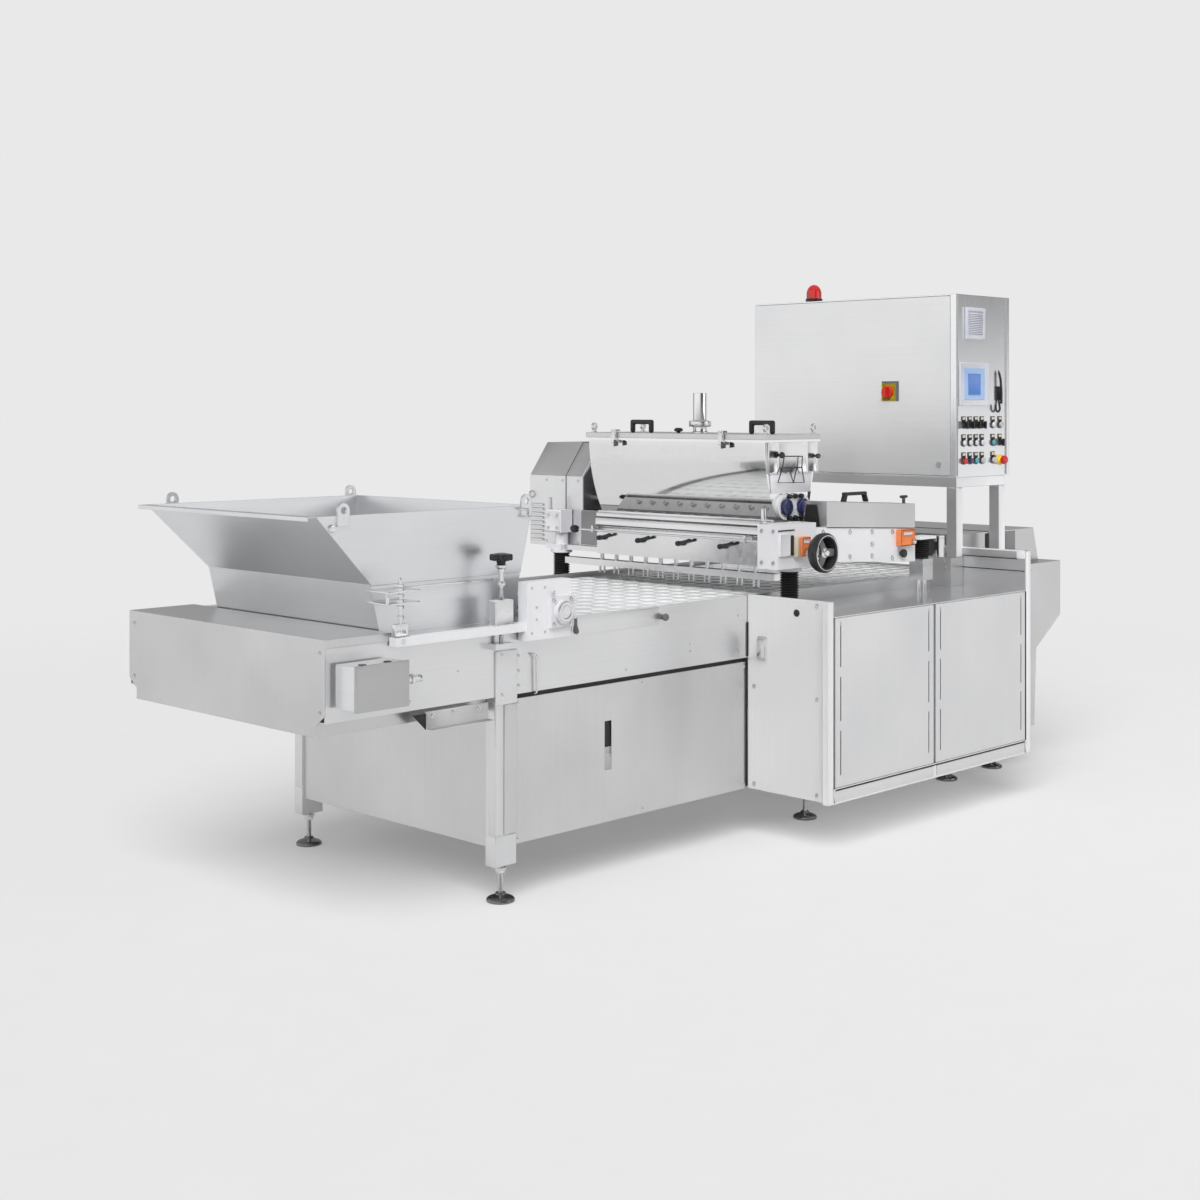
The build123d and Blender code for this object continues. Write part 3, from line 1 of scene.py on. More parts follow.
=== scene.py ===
import math
import bmesh
import bpy
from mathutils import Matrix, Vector


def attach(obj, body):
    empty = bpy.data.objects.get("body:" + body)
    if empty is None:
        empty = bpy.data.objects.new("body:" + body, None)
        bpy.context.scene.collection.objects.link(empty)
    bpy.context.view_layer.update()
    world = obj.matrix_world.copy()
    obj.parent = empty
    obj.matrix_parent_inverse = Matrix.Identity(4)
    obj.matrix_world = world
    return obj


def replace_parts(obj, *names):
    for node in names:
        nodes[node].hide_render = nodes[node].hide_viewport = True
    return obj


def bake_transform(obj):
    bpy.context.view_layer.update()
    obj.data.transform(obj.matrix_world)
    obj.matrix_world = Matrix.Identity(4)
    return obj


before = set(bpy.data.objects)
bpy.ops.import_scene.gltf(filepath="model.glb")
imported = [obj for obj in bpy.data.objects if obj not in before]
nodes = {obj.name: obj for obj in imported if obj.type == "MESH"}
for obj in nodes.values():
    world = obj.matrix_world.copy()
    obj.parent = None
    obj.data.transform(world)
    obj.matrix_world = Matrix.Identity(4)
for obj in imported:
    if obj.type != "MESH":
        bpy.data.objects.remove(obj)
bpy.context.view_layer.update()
datum = Vector((1380.0, 504.0, 0.0))  # millimetres, from the near infeed leg to the floor's middle
left, right, near, far = (-1, 0, 0), (1, 0, 0), (0, -1, 0), (0, 1, 0)  # near is the operator's side
down, up = (0, 0, -1), (0, 0, 1)
edgeAngle = 35  # degrees, from which two faces meet in a sharp edge
print("frame loaded:", len(nodes), "nodes")


# Modelling helpers, with sizes in millimetres
def at(x, y, z):
    return (Vector((x, y, z)) - datum) / 1000.0


def clearPick():
    if bpy.context.object and bpy.context.object.mode != "OBJECT":
        bpy.ops.object.mode_set(mode="OBJECT")
    bpy.ops.object.select_all(action="DESELECT")


def grab(piece):
    clearPick()
    piece.select_set(True)
    bpy.context.view_layer.objects.active = piece
    return piece


def settle(piece):
    grab(piece)
    bpy.ops.object.transform_apply(location=True, rotation=True, scale=True)
    return piece


def startBlock(name, xs, ys, zs):
    clearPick()
    low, high = at(xs[0], ys[0], zs[0]), at(xs[1], ys[1], zs[1])
    bpy.ops.mesh.primitive_cube_add(size=1.0, location=(low + high) / 2)
    piece = bpy.context.object
    piece.name = name
    piece.scale = high - low
    return settle(piece)


def facing(side):  # a test for the faces that look to one side
    return lambda centre, normal: normal.dot(side) > 0.9


def openFaces(piece, test):  # edit mode, with the faces picked that the test likes
    grab(piece)
    bpy.ops.object.mode_set(mode="EDIT")
    bpy.ops.mesh.select_mode(type="FACE")
    bpy.ops.mesh.select_all(action="DESELECT")
    shape = bmesh.from_edit_mesh(piece.data)
    for face in shape.faces:
        if test(face.calc_center_median(), face.normal):
            face.select_set(True)
    bmesh.update_edit_mesh(piece.data)


def closeEdit(piece):
    bpy.ops.mesh.select_all(action="SELECT")
    bpy.ops.mesh.normals_make_consistent(inside=False)
    bpy.ops.object.mode_set(mode="OBJECT")
    return piece


def push(step):
    bpy.ops.mesh.extrude_region_move(TRANSFORM_OT_translate={"value": step})


def soften(piece, width, steps=2):
    grab(piece)
    bpy.ops.object.modifier_add(type="BEVEL")
    edge = piece.modifiers[-1]
    edge.width = width / 1000.0
    edge.segments = steps
    edge.limit_method = "ANGLE"
    edge.angle_limit = math.radians(edgeAngle)
    bpy.ops.object.modifier_apply(modifier=edge.name)
    return smooth(piece)


def smooth(piece, angle=edgeAngle):
    grab(piece)
    bpy.ops.object.shade_smooth_by_angle(angle=math.radians(angle))
    return piece


def insetFace(piece, side, rim, depth, drawn=0.0):  # drawn takes the inset face straight out or in
    openFaces(piece, facing(side))
    bpy.ops.mesh.inset(thickness=rim / 1000.0, depth=depth / 1000.0)
    if drawn:
        push(tuple(part * drawn / 1000.0 for part in side))
    return closeEdit(piece)


# A block with one face inset
def facedBlock(name, side, xs, ys, zs, rim, depth, edge=0.0, steps=2, drawn=0.0):
    piece = insetFace(startBlock(name, xs, ys, zs), side, rim, depth, drawn)
    return soften(piece, edge, steps) if edge else piece


def facedSet(name, blocks, rim, depth, edge=0.0):  # faced blocks of one kind, joined
    return join(name, [facedBlock(name, *block, rim, depth, edge) for block in blocks])


def taper(piece, side, scale, place):  # the face on one side scaled about a place
    openFaces(piece, facing(side))
    bpy.ops.transform.resize(value=scale, center_override=at(*place))
    return closeEdit(piece)


def lowerFace(piece, side, drop):  # the face on one side slid down
    openFaces(piece, facing(side))
    bpy.ops.transform.translate(value=(0, 0, -drop / 1000.0))
    return closeEdit(piece)


def cut(piece, place, out, **how):  # the whole piece bisected by a plane
    grab(piece)
    bpy.ops.object.mode_set(mode="EDIT")
    bpy.ops.mesh.select_all(action="SELECT")
    bpy.ops.mesh.bisect(plane_co=place, plane_no=out, **how)
    return closeEdit(piece)


def turned(name, place, axis, rings, sides):  # rings of (radius, height), drawn out one after another
    clearPick()
    radius, height = rings[0]
    bpy.ops.mesh.primitive_circle_add(vertices=sides,
        radius=radius / 1000.0, fill_type="NGON", location=(0, 0, height / 1000.0))
    piece = bpy.context.object
    piece.name = name
    settle(piece)
    bpy.ops.object.mode_set(mode="EDIT")
    bpy.ops.mesh.select_mode(type="FACE")
    bpy.ops.mesh.select_all(action="SELECT")
    for nextRadius, nextHeight in rings[1:]:
        push((0, 0, (nextHeight - height) / 1000.0))
        scale = nextRadius / radius
        bpy.ops.transform.resize(value=(scale, scale, 1), center_override=(0, 0, nextHeight / 1000.0))
        radius, height = nextRadius, nextHeight
    closeEdit(piece)
    piece.rotation_mode = "QUATERNION"
    piece.rotation_quaternion = Vector(axis).to_track_quat("Z", "Y")
    piece.location = at(*place)
    settle(piece)
    return smooth(piece)


def hollowRing(name, place, axis, rings, sides=64):  # a closed profile turned round, with an open middle
    piece = turned(name, place, axis, rings + rings[:1], sides)
    along = Vector(axis).normalized()
    middle = at(*place)
    openFaces(piece, lambda centre, normal: abs(normal.dot(along)) > 0.99
        and ((centre - middle) - along * (centre - middle).dot(along)).length < 0.0005)
    bpy.ops.mesh.delete(type="ONLY_FACE")
    bpy.ops.mesh.select_all(action="SELECT")
    bpy.ops.mesh.remove_doubles(threshold=0.00001)
    closeEdit(piece)
    return smooth(piece, 40)


def thread(root, crest, low, pitch, turns):  # rings of a screw thread
    rings = []
    for turn in range(turns):
        rings += [(root, low + pitch * turn), (crest, low + pitch * (turn + 0.5))]
    return rings


def join(name, group):
    clearPick()
    for piece in group:
        piece.select_set(True)
    bpy.context.view_layer.objects.active = group[0]
    if len(group) > 1:
        bpy.ops.object.join()
    group[0].name = name
    return group[0]


def copies(piece, shifts):  # one joined mesh, a copy at each shift
    group = [piece]
    for shift in shifts:
        grab(piece)
        bpy.ops.object.duplicate(linked=False)
        twin = bpy.context.object
        twin.location = Vector(shift) / 1000.0
        settle(twin)
        group.append(twin)
    return join(piece.name, group)


def copiesAt(piece, places):  # from the first place to the others
    return copies(piece, [tuple(b - a for a, b in zip(places[0], place)) for place in places[1:]])


def screwHeads(name, places, axis, radius, height):  # socket screws, modelled once and copied
    rings = [(radius * 1.25, 0), (radius * 1.25, 1.0), (radius, 1.2), (radius, height * 0.8),
        (radius * 0.86, height), (radius * 0.5, height), (radius * 0.45, height * 0.4)]
    return copiesAt(turned(name, places[0], axis, rings, 12), places)


def rod(name, points, radius, sides=12, closed=False):  # a bent rod along its route
    clearPick()
    route = bpy.data.curves.new(name, "CURVE")
    route.dimensions = "3D"
    route.bevel_depth = radius / 1000.0
    route.bevel_resolution = max(1, sides // 4 - 1)
    route.use_fill_caps = True
    line = route.splines.new("POLY")
    line.points.add(len(points) - 1)
    for spot, point in zip(line.points, points):
        spot.co = (*at(*point), 1.0)
    line.use_cyclic_u = closed
    piece = bpy.data.objects.new(name, route)
    bpy.context.collection.objects.link(piece)
    grab(piece)
    bpy.ops.object.convert(target="MESH")
    return smooth(bpy.context.object, 50)


# A bar on two legs
def bridgeHandle(name, axis, place, length, width, low, high, thick, lean=0.0, fillet=0.3):
    x, y = place
    across, deep = (length / 2, width / 2) if axis == right else (width / 2, length / 2)
    bar = startBlock(name, (x - across, x + across), (y - deep, y + deep), (high - thick, high))
    centre, along, inner = at(x, y, 0), Vector(axis), length / 2 - thick
    for side in (-1, 1):
        cut(bar, centre + along * side * inner / 1000, along)
    openFaces(bar, lambda spot, normal: normal.z < -0.9 and abs((spot - centre).dot(along)) > inner / 1000)
    push((0, 0, (low - high + thick) / 1000.0))
    if lean:  # the legs stand wider at the bottom
        bpy.ops.transform.resize(value=[lean if part else 1 for part in axis], center_override=centre)
    closeEdit(bar)
    return soften(bar, thick * fillet, 4)


def fit(piece, body, finish):
    piece.data.materials.clear()
    piece.data.materials.append(finish)
    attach(piece, body)
    return piece


# Finishes
def addNode(tree, kind, inputs=None, **settings):  # an input is a plain value or a socket to link from
    node = tree.nodes.new(kind)
    for key, value in settings.items():
        setattr(node, key, value)
    for key, value in (inputs or {}).items():
        if isinstance(value, bpy.types.NodeSocket):
            tree.links.new(value, node.inputs[key])
        else:
            node.inputs[key].default_value = value
    return node


def startFinish(name, metal, rough):
    finish = bpy.data.materials.new(name)
    finish.use_nodes = True
    tree = finish.node_tree
    shader = tree.nodes["Principled BSDF"]
    shader.inputs["Metallic"].default_value = metal
    shader.inputs["Roughness"].default_value = rough
    return finish, tree, shader


def grain(tree, scale, stretch, detail):  # a noise field on Object coordinates
    spot = addNode(tree, "ShaderNodeTexCoord").outputs["Object"]
    turn = addNode(tree, "ShaderNodeMapping", {"Vector": spot, "Scale": stretch}).outputs["Vector"]
    return addNode(tree, "ShaderNodeTexNoise",
        {"Vector": turn, "Scale": scale, "Detail": detail}).outputs["Fac"]


def spread(tree, field, low, high):
    span = {"Value": field, "From Min": 0.3, "From Max": 0.7, "To Min": low, "To Max": high}
    return addNode(tree, "ShaderNodeMapRange", span).outputs["Result"]


def tint(tree, field, dark, light):
    ramp = addNode(tree, "ShaderNodeValToRGB", {"Fac": field})
    for stop, position, colour in zip(ramp.color_ramp.elements, (0.3, 0.7), (dark, light)):
        stop.position = position
        stop.color = (*colour, 1)
    return ramp.outputs["Color"]


def relief(tree, shader, field, strength, depth, edge=0.0):
    bump = addNode(tree, "ShaderNodeBump", {"Height": field, "Strength": strength, "Distance": depth})
    if edge:  # folded sheet has a small radius that catches the light
        fold = addNode(tree, "ShaderNodeBevel", {"Radius": edge}, samples=4)
        tree.links.new(fold.outputs["Normal"], bump.inputs["Normal"])
    tree.links.new(bump.outputs["Normal"], shader.inputs["Normal"])


def metalFinish(name, dark, light, rough, stretch, reliefDepth, metal=1.0, edge=0.0):
    finish, tree, shader = startFinish(name, metal, rough[0])
    streak = grain(tree, 1.0, stretch, 2.0)
    cloud = grain(tree, 1.9, (1, 1, 1), 3.0)
    layers = {"Factor": 1.0, "A": tint(tree, cloud, dark, light),
        "B": tint(tree, streak, (0.975,) * 3, (1.0,) * 3)}
    brushed = addNode(tree, "ShaderNodeMix", layers, data_type="RGBA", blend_type="MULTIPLY")
    tree.links.new(brushed.outputs["Result"], shader.inputs["Base Color"])
    tree.links.new(spread(tree, streak, *rough), shader.inputs["Roughness"])
    relief(tree, shader, streak, 0.05, reliefDepth, edge)
    return finish


def sheetFinish(name, dark, light, metal, stretch, rough=(0.29, 0.33)):  # brushed sheet with folded edges
    return metalFinish(name, dark, light, rough, stretch, 0.00002, metal, 0.003)


def mouldedFinish(name, dark, light, rough, grainSize, coat=0.0):
    finish, tree, shader = startFinish(name, 0.0, rough[0])
    fine = grain(tree, grainSize, (1, 1, 1), 3.0)
    cloud = grain(tree, 9.0, (1, 1, 1), 2.0)
    tree.links.new(tint(tree, cloud, dark, light), shader.inputs["Base Color"])
    tree.links.new(spread(tree, fine, *rough), shader.inputs["Roughness"])
    relief(tree, shader, fine, 0.2, 0.0004)
    shader.inputs["Coat Weight"].default_value = coat
    return finish


brushing = {"along": (1.5, 1.5, 110), "upright": (110, 110, 1.5)}
steelAlong = sheetFinish("brushedSteelAlong", (0.72, 0.725, 0.735),
    (0.80, 0.80, 0.805), 0.88, brushing["along"])
steelUp = sheetFinish("brushedSteelUpright", (0.72, 0.725, 0.735),
    (0.80, 0.80, 0.805), 0.88, brushing["upright"])
steelGrey = sheetFinish("brushedSteelGrey", (0.62, 0.62, 0.62),
    (0.71, 0.71, 0.71), 0.90, brushing["upright"])
steelPale = sheetFinish("brushedSteelPale", (0.77, 0.775, 0.785),
    (0.85, 0.85, 0.855), 0.66, brushing["along"])
cabinetSteel = sheetFinish("cabinetSteel", (0.84, 0.85, 0.87),
    (0.91, 0.915, 0.93), 0.88, brushing["upright"], (0.17, 0.22))
hopperSteel = sheetFinish("hopperSteel", (0.72, 0.73, 0.75), (0.79, 0.80, 0.815), 0.86, brushing["along"])
panelSteel = sheetFinish("panelSteel", (0.84, 0.84, 0.84),
    (0.90, 0.90, 0.90), 0.40, brushing["upright"], (0.31, 0.37))
# Dark steel that paints the shade on faces lying in shadow
paintedShadeSteel = metalFinish("paintedShadeSteel", (0.24, 0.24, 0.245),
    (0.31, 0.31, 0.315), (0.30, 0.38), (2, 2, 60), 0.0001, 0.8)
footChrome = metalFinish("footChrome", (0.20, 0.20, 0.205),
    (0.27, 0.27, 0.275), (0.05, 0.09), (30, 30, 30), 0.00005)
steelMatt = metalFinish("mattSteel", (0.50, 0.50, 0.505),
    (0.56, 0.56, 0.565), (0.36, 0.44), (2, 2, 60), 0.0001, 0.7)
steelDark = metalFinish("darkChrome", (0.10, 0.10, 0.105),
    (0.16, 0.16, 0.165), (0.12, 0.22), (60, 60, 60), 0.0001)
mirrorSteel = metalFinish("mirrorSteel", (0.80, 0.80, 0.80),
    (0.86, 0.86, 0.86), (0.05, 0.09), (2, 30, 30), 0.00005)
brightSteel = metalFinish("turnedSteel", (0.72, 0.72, 0.73),
    (0.80, 0.80, 0.81), (0.14, 0.24), (40, 40, 40), 0.0001)
whiteAlloy = metalFinish("whiteAlloy", (0.77, 0.77, 0.80),
    (0.85, 0.85, 0.875), (0.34, 0.44), (90, 90, 90), 0.0001, 0.15, 0.0015)
clearAlloy = metalFinish("clearAlloy", (0.86, 0.86, 0.885),
    (0.93, 0.93, 0.95), (0.34, 0.44), (90, 90, 90), 0.0001, 0.12, 0.0015)
mouldAlloy = metalFinish("mouldAlloy", (0.88, 0.885, 0.89),
    (0.94, 0.945, 0.95), (0.29, 0.36), (8, 8, 8), 0.0001, 0.35)
blackPlastic = mouldedFinish("blackPlastic", (0.010, 0.010, 0.011),
    (0.022, 0.022, 0.024), (0.26, 0.42), 420.0)
blackRubber = mouldedFinish("bellowsRubber", (0.010, 0.010, 0.010),
    (0.026, 0.025, 0.024), (0.50, 0.68), 300.0)
slatePlastic = mouldedFinish("slatePlastic", (0.10, 0.10, 0.105), (0.15, 0.15, 0.155), (0.30, 0.42), 350.0)
greyPlastic = mouldedFinish("greyPlastic", (0.50, 0.50, 0.52), (0.58, 0.58, 0.60), (0.36, 0.48), 350.0)
paleGrey = mouldedFinish("screenGrey", (0.62, 0.63, 0.70), (0.70, 0.71, 0.77), (0.34, 0.46), 350.0)
orangePlastic = mouldedFinish("orangePlastic",
    (0.80, 0.205, 0.055), (0.87, 0.26, 0.08), (0.30, 0.42), 350.0)
redPlastic = mouldedFinish("redPlastic", (0.50, 0.010, 0.010),
    (0.62, 0.018, 0.014), (0.22, 0.34), 350.0, 0.3)
bluePlastic = mouldedFinish("bluePlastic", (0.010, 0.016, 0.075),
    (0.018, 0.028, 0.115), (0.16, 0.28), 300.0, 0.4)
yellowPlastic = mouldedFinish("yellowPlastic", (0.90, 0.66, 0.03), (0.95, 0.74, 0.05), (0.30, 0.42), 350.0)
redLens = mouldedFinish("redLens", (0.52, 0.006, 0.006), (0.64, 0.012, 0.010), (0.10, 0.18), 200.0, 0.6)
skyBlue = mouldedFinish("screenSurround", (0.36, 0.52, 0.80), (0.44, 0.60, 0.86), (0.22, 0.32), 350.0)
screenBlue = mouldedFinish("screenBlue", (0.075, 0.20, 0.60), (0.10, 0.25, 0.68), (0.08, 0.16), 300.0, 0.5)
creamCard = mouldedFinish("creamCard", (0.66, 0.58, 0.44), (0.74, 0.67, 0.53), (0.50, 0.62), 400.0)
paleLens = mouldedFinish("paleLens", (0.62, 0.63, 0.66), (0.72, 0.73, 0.76), (0.12, 0.22), 250.0, 0.5)
greenLens = mouldedFinish("turquoiseLens", (0.05, 0.32, 0.36), (0.08, 0.40, 0.44), (0.12, 0.22), 250.0, 0.5)
beigePlastic = mouldedFinish("beigePlastic", (0.60, 0.50, 0.36), (0.68, 0.58, 0.44), (0.36, 0.48), 350.0)
print("finishes ready")


# Camera, light and floor
studio = {"eye": (-5.4078, -4.9504, 1.70), "turn": -45.45,
    "lens": 52.11, "shift": -0.16, "pale": 0.815, "ambient": 0.30, "dim": 0.38, "ceiling": 0.42}
clearPick()
bpy.ops.object.camera_add(location=studio["eye"],
    rotation=(math.radians(90), 0, math.radians(studio["turn"])))
camera = bpy.context.object
camera.data.lens = studio["lens"]
camera.data.sensor_width = 36.0
camera.data.shift_y = studio["shift"]
bpy.context.scene.camera = camera

lights = {"place": (3.2, -6.5, 3.4), "aim": (0.2, 0, 0.9), "size": (5.0, 3.0), "power": 60.0,
    "sunPlace": (-3.0, -4.0, 4.5), "sunPower": 2.95, "sunSpread": 45, "sunTilt": 46, "sunTurn": -52}
clearPick()
bpy.ops.object.light_add(type="AREA", location=lights["place"])
operatorLight = bpy.context.object
operatorLight.name = "operatorLight"
operatorLight.data.shape = "RECTANGLE"
operatorLight.data.size, operatorLight.data.size_y = lights["size"]
operatorLight.data.energy = lights["power"]
operatorLight.rotation_mode = "QUATERNION"
lightWay = Vector(lights["aim"]) - Vector(lights["place"])
operatorLight.rotation_quaternion = lightWay.to_track_quat("-Z", "Y")
clearPick()
# A wide, even light from the operator's side
bpy.ops.object.light_add(type="SUN", location=lights["sunPlace"])
ceiling = bpy.context.object
ceiling.name = "ceilingLight"
ceiling.data.energy = lights["sunPower"]
ceiling.data.angle = math.radians(lights["sunSpread"])
ceiling.rotation_euler = (math.radians(lights["sunTilt"]), 0, math.radians(lights["sunTurn"]))
ceiling.visible_glossy = False

world = bpy.data.worlds.new("studio")
bpy.context.scene.world = world
world.use_nodes = True
sky = world.node_tree
sky.nodes.clear()
rays = addNode(sky, "ShaderNodeLightPath").outputs
where = addNode(sky, "ShaderNodeTexCoord").outputs["Generated"]
height = addNode(sky, "ShaderNodeSeparateXYZ", {0: where}).outputs["Z"]


def skyFade(field, start, end, low, high):
    span = {"Value": field, "From Min": start, "From Max": end, "To Min": low, "To Max": high}
    return addNode(sky, "ShaderNodeMapRange", span, interpolation_type="SMOOTHSTEP").outputs["Result"]


def skySide(direction):
    return addNode(sky, "ShaderNodeVectorMath",
        {0: where, 1: direction}, operation="DOT_PRODUCT").outputs["Value"]


def skyBlend(share, first, second):
    both = {"Factor": share, "A": first, "B": second}
    return addNode(sky, "ShaderNodeMix", both, data_type="FLOAT").outputs["Result"]


# The room that metal shows: pale at the infeed, dark above eye level at the operator's side, dim beyond
operatorSide = skyFade(height, -0.02, 0.08, 1.0, 0.08)
infeedSide = skyFade(height, -0.10, -0.02, 0.85, 1.0)
room = skyBlend(skyFade(skySide((0.71, -0.70, 0.0)), -0.3, 0.4, 0.0, 1.0), infeedSide, operatorSide)
room = skyBlend(skyFade(skySide((0.71, 0.70, 0.0)), 0.15, 0.75, 0.0, 1.0), room, studio["dim"])
room = skyBlend(skyFade(height, 0.25, 0.70, 0.0, 1.0), room, studio["ceiling"])
bounces = {0: rays["Is Glossy Ray"], 1: rays["Is Transmission Ray"]}
mirrored = addNode(sky, "ShaderNodeMath", bounces, operation="MAXIMUM").outputs[0]
strength = skyBlend(mirrored, studio["ambient"], room)
strength = skyBlend(rays["Is Camera Ray"], strength, studio["pale"])
glow = addNode(sky, "ShaderNodeBackground", {"Color": (1, 1, 1, 1), "Strength": strength})
addNode(sky, "ShaderNodeOutputWorld", {"Surface": glow.outputs["Background"]})

floorSizes = {"half": 14.0, "fadeStart": 4.5, "fadeEnd": 9.0, "colour": 0.60, "glow": 0.22}
clearPick()
bpy.ops.mesh.primitive_plane_add(size=2 * floorSizes["half"], location=(0, 0, 0))
floor = bpy.context.object
floor.name = "studioFloor"
bpy.ops.object.mode_set(mode="EDIT")
bpy.ops.mesh.subdivide(number_cuts=5)
bpy.ops.object.mode_set(mode="OBJECT")
floorFinish, floorTree, floorShader = startFinish("studioFloorPaint", 0.0, 0.8)
floorShader.inputs["Specular IOR Level"].default_value = 0.0
paint = grain(floorTree, 5.0, (1, 1, 1), 2.0)
paint = tint(floorTree, paint, (floorSizes["colour"] - 0.004,) * 3, (floorSizes["colour"] + 0.004,) * 3)
floorTree.links.new(paint, floorShader.inputs["Base Color"])
floorRays = addNode(floorTree, "ShaderNodeLightPath").outputs  # a pale glow for the camera, metal and glass
seen = floorRays["Is Camera Ray"]
for kind in ("Is Glossy Ray", "Is Transmission Ray"):
    seen = addNode(floorTree, "ShaderNodeMath",
        {0: seen, 1: floorRays[kind]}, operation="MAXIMUM").outputs[0]
paleGlow = addNode(floorTree, "ShaderNodeMath", {0: seen, 1: floorSizes["glow"]}, operation="MULTIPLY")
floorTree.links.new(paleGlow.outputs[0], floorShader.inputs["Emission Strength"])
floorShader.inputs["Emission Color"].default_value = (1, 1, 1, 1)
floorSpot = addNode(floorTree, "ShaderNodeTexCoord").outputs["Object"]
floorReach = addNode(floorTree, "ShaderNodeVectorMath", {0: floorSpot}, operation="LENGTH").outputs["Value"]
fadeSpan = {"Value": floorReach, "From Min": floorSizes["fadeStart"], "From Max": floorSizes["fadeEnd"]}
floorFade = addNode(floorTree, "ShaderNodeMapRange", fadeSpan, interpolation_type="SMOOTHSTEP")
clearFloor = addNode(floorTree, "ShaderNodeBsdfTransparent")
floorLayers = {"Fac": floorFade.outputs["Result"],
    1: floorShader.outputs["BSDF"], 2: clearFloor.outputs["BSDF"]}
floorMix = addNode(floorTree, "ShaderNodeMixShader", floorLayers)
floorTree.links.new(floorMix.outputs["Shader"], floorTree.nodes["Material Output"].inputs["Surface"])
floor.data.materials.append(floorFinish)
bpy.context.scene.view_settings.view_transform = "Standard"
print("camera, light and floor ready")


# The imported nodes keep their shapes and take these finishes
nodeFinish = {"base_frame": steelUp, "skirt_panels": steelGrey, "side_plates": steelAlong,
    "infeed_cover": steelGrey, "junction_box": steelPale, "wear_rails": greyPlastic,
    "mould_plates": mouldAlloy, "idler_shaft": brightSteel, "drive_shaft": brightSteel,
    "dispenser_hopper": hopperSteel, "roller_arms": clearAlloy, "flange_bearings": whiteAlloy,
    "levelling_roller": brightSteel, "side_cabinet": cabinetSteel, "cabinet_door_left": steelUp,
    "cabinet_door_right": steelUp, "cabinet_end_panel": steelUp, "electrical_cabinet": cabinetSteel,
    "electrical_door": steelPale, "portal_frame": steelGrey, "discharge_housing": steelGrey,
    "lift_columns": brightSteel, "head_frame": whiteAlloy, "manifold": brightSteel,
    "nozzle_bar": brightSteel, "product_hopper": mirrorSteel, "hopper_lid": steelGrey,
    "gear_cover": steelUp, "drive_plate": clearAlloy, "drive_cover": steelGrey,
    "feed_roller_front": brightSteel, "feed_roller_rear": brightSteel, "feed_motor": greyPlastic,
    "levelling_feet": steelDark, "height_knob": blackPlastic, "handwheel": blackPlastic,
    "position_indicators": orangePlastic, "lid_fittings": brightSteel, "main_switch_plate": yellowPlastic,
    "main_switch_knob": redPlastic, "beacon": redPlastic, "panel_fittings": paleGrey,
    "control_bezels": blackPlastic, "column_bellows": blackRubber, "rear_bellows": blackRubber,
    "estop_button": redPlastic, "button_stop": redPlastic, "button_reset": bluePlastic,
    "button_fill": greyPlastic, "button_jog": greyPlastic, "button_start": greyPlastic}
for number in range(1, 6):
    nodeFinish["selector_%d" % number] = blackPlastic
for number in range(1, 5):
    nodeFinish["clamp_lever_%d" % number] = blackPlastic
for nodeName, node in nodes.items():
    node.data.materials.clear()
    node.data.materials.append(nodeFinish[nodeName])
print("node finishes set")

# Levelling feet
feet = {"xs": (0, 1700, 2750, 3130), "ys": (0, 1110), "legLow": 126}
footShifts = [(x, y, 0) for x in feet["xs"] for y in feet["ys"]][1:]
footPads = turned("footPads", (0, 0, 0), up, [(46, 0),
    (49, 1.5), (50, 4), (50, 8), (48, 12), (43, 16), (34, 20), (24, 23), (19, 26), (17, 31), (14, 33)], 40)
copies(footPads, footShifts)
footThread = [(10, 30)] + thread(8.6, 10, 34, 5, 15) + [(10, feet["legLow"] + 2)]
footScrews = turned("footScrews", (0, 0, 0), up, footThread, 16)
footNut = turned("footNut", (0, 0, 0), up, [(16, 98), (18, 99.5), (18, 110.5), (16, 112)], 6)
footWasher = turned("footWasher", (0, 0, 0), up, [(21, 112), (22, 113), (22, 117), (21, 118)], 24)
footScrews = join("footScrews", [footScrews, footNut, footWasher])
copies(footScrews, footShifts)
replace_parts(fit(footPads, "machine", footChrome), "levelling_feet")
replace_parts(fit(footScrews, "machine", brightSteel), "levelling_feet")

# Thin faces of the infeed legs, and the near skirt's fold over its leg
legTrim = {"post": (238, 690), "foot": (128, 232)}
legFaces = [(near, (-49, -20), (-27.5, -25), legTrim["post"]),
    (left, (-49.5, -47), (-25, 6), legTrim["post"]), (left, (-49.5, -47), (1086, 1133), legTrim["post"]),
    (near, (-49, 49), (-27, -25), legTrim["foot"]),
    (left, (-49, -47), (-25, 24), legTrim["foot"]), (left, (-49, -47), (1086, 1135), legTrim["foot"])]
fit(facedSet("legTrim", legFaces, 1.5, 0.4, 0.8), "machine", steelUp)
fit(facedBlock("skirtFold", near, (-8, 49.5), (-28.5, -25), (234, 680), 2, 0.5, 1.0),
    "machine", steelGrey)
print("feet done")

# Bellows on the lift columns and the rear guide
bellowsSizes = {"column": {"outer": 38, "root": 30, "low": 914, "high": 1063.7, "ribs": 13},
    "rear": {"outer": 34, "root": 27, "low": 1044, "high": 1129.7, "ribs": 8}}


def bellows(name, place, size):
    outer, root, low, high = size["outer"], size["root"], size["low"], size["high"]
    pitch = (high - low - 16) / size["ribs"]
    rings = [(root + 4, low), (root + 5, low + 1), (root + 5, low + 7), (root, low + 8)]
    for rib in range(size["ribs"]):
        start = low + 8 + rib * pitch
        rings += [(outer - 1.2, start + pitch * 0.36), (outer, start + pitch * 0.46),
            (outer, start + pitch * 0.54), (outer - 1.2, start + pitch * 0.64), (root, start + pitch)]
    rings += [(root + 5, high - 7), (root + 5, high - 1), (root + 4, high)]
    piece = turned(name, (place[0], place[1], 0), up, rings, 48)
    piece.data.materials.append(blackRubber)
    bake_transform(piece)
    return piece


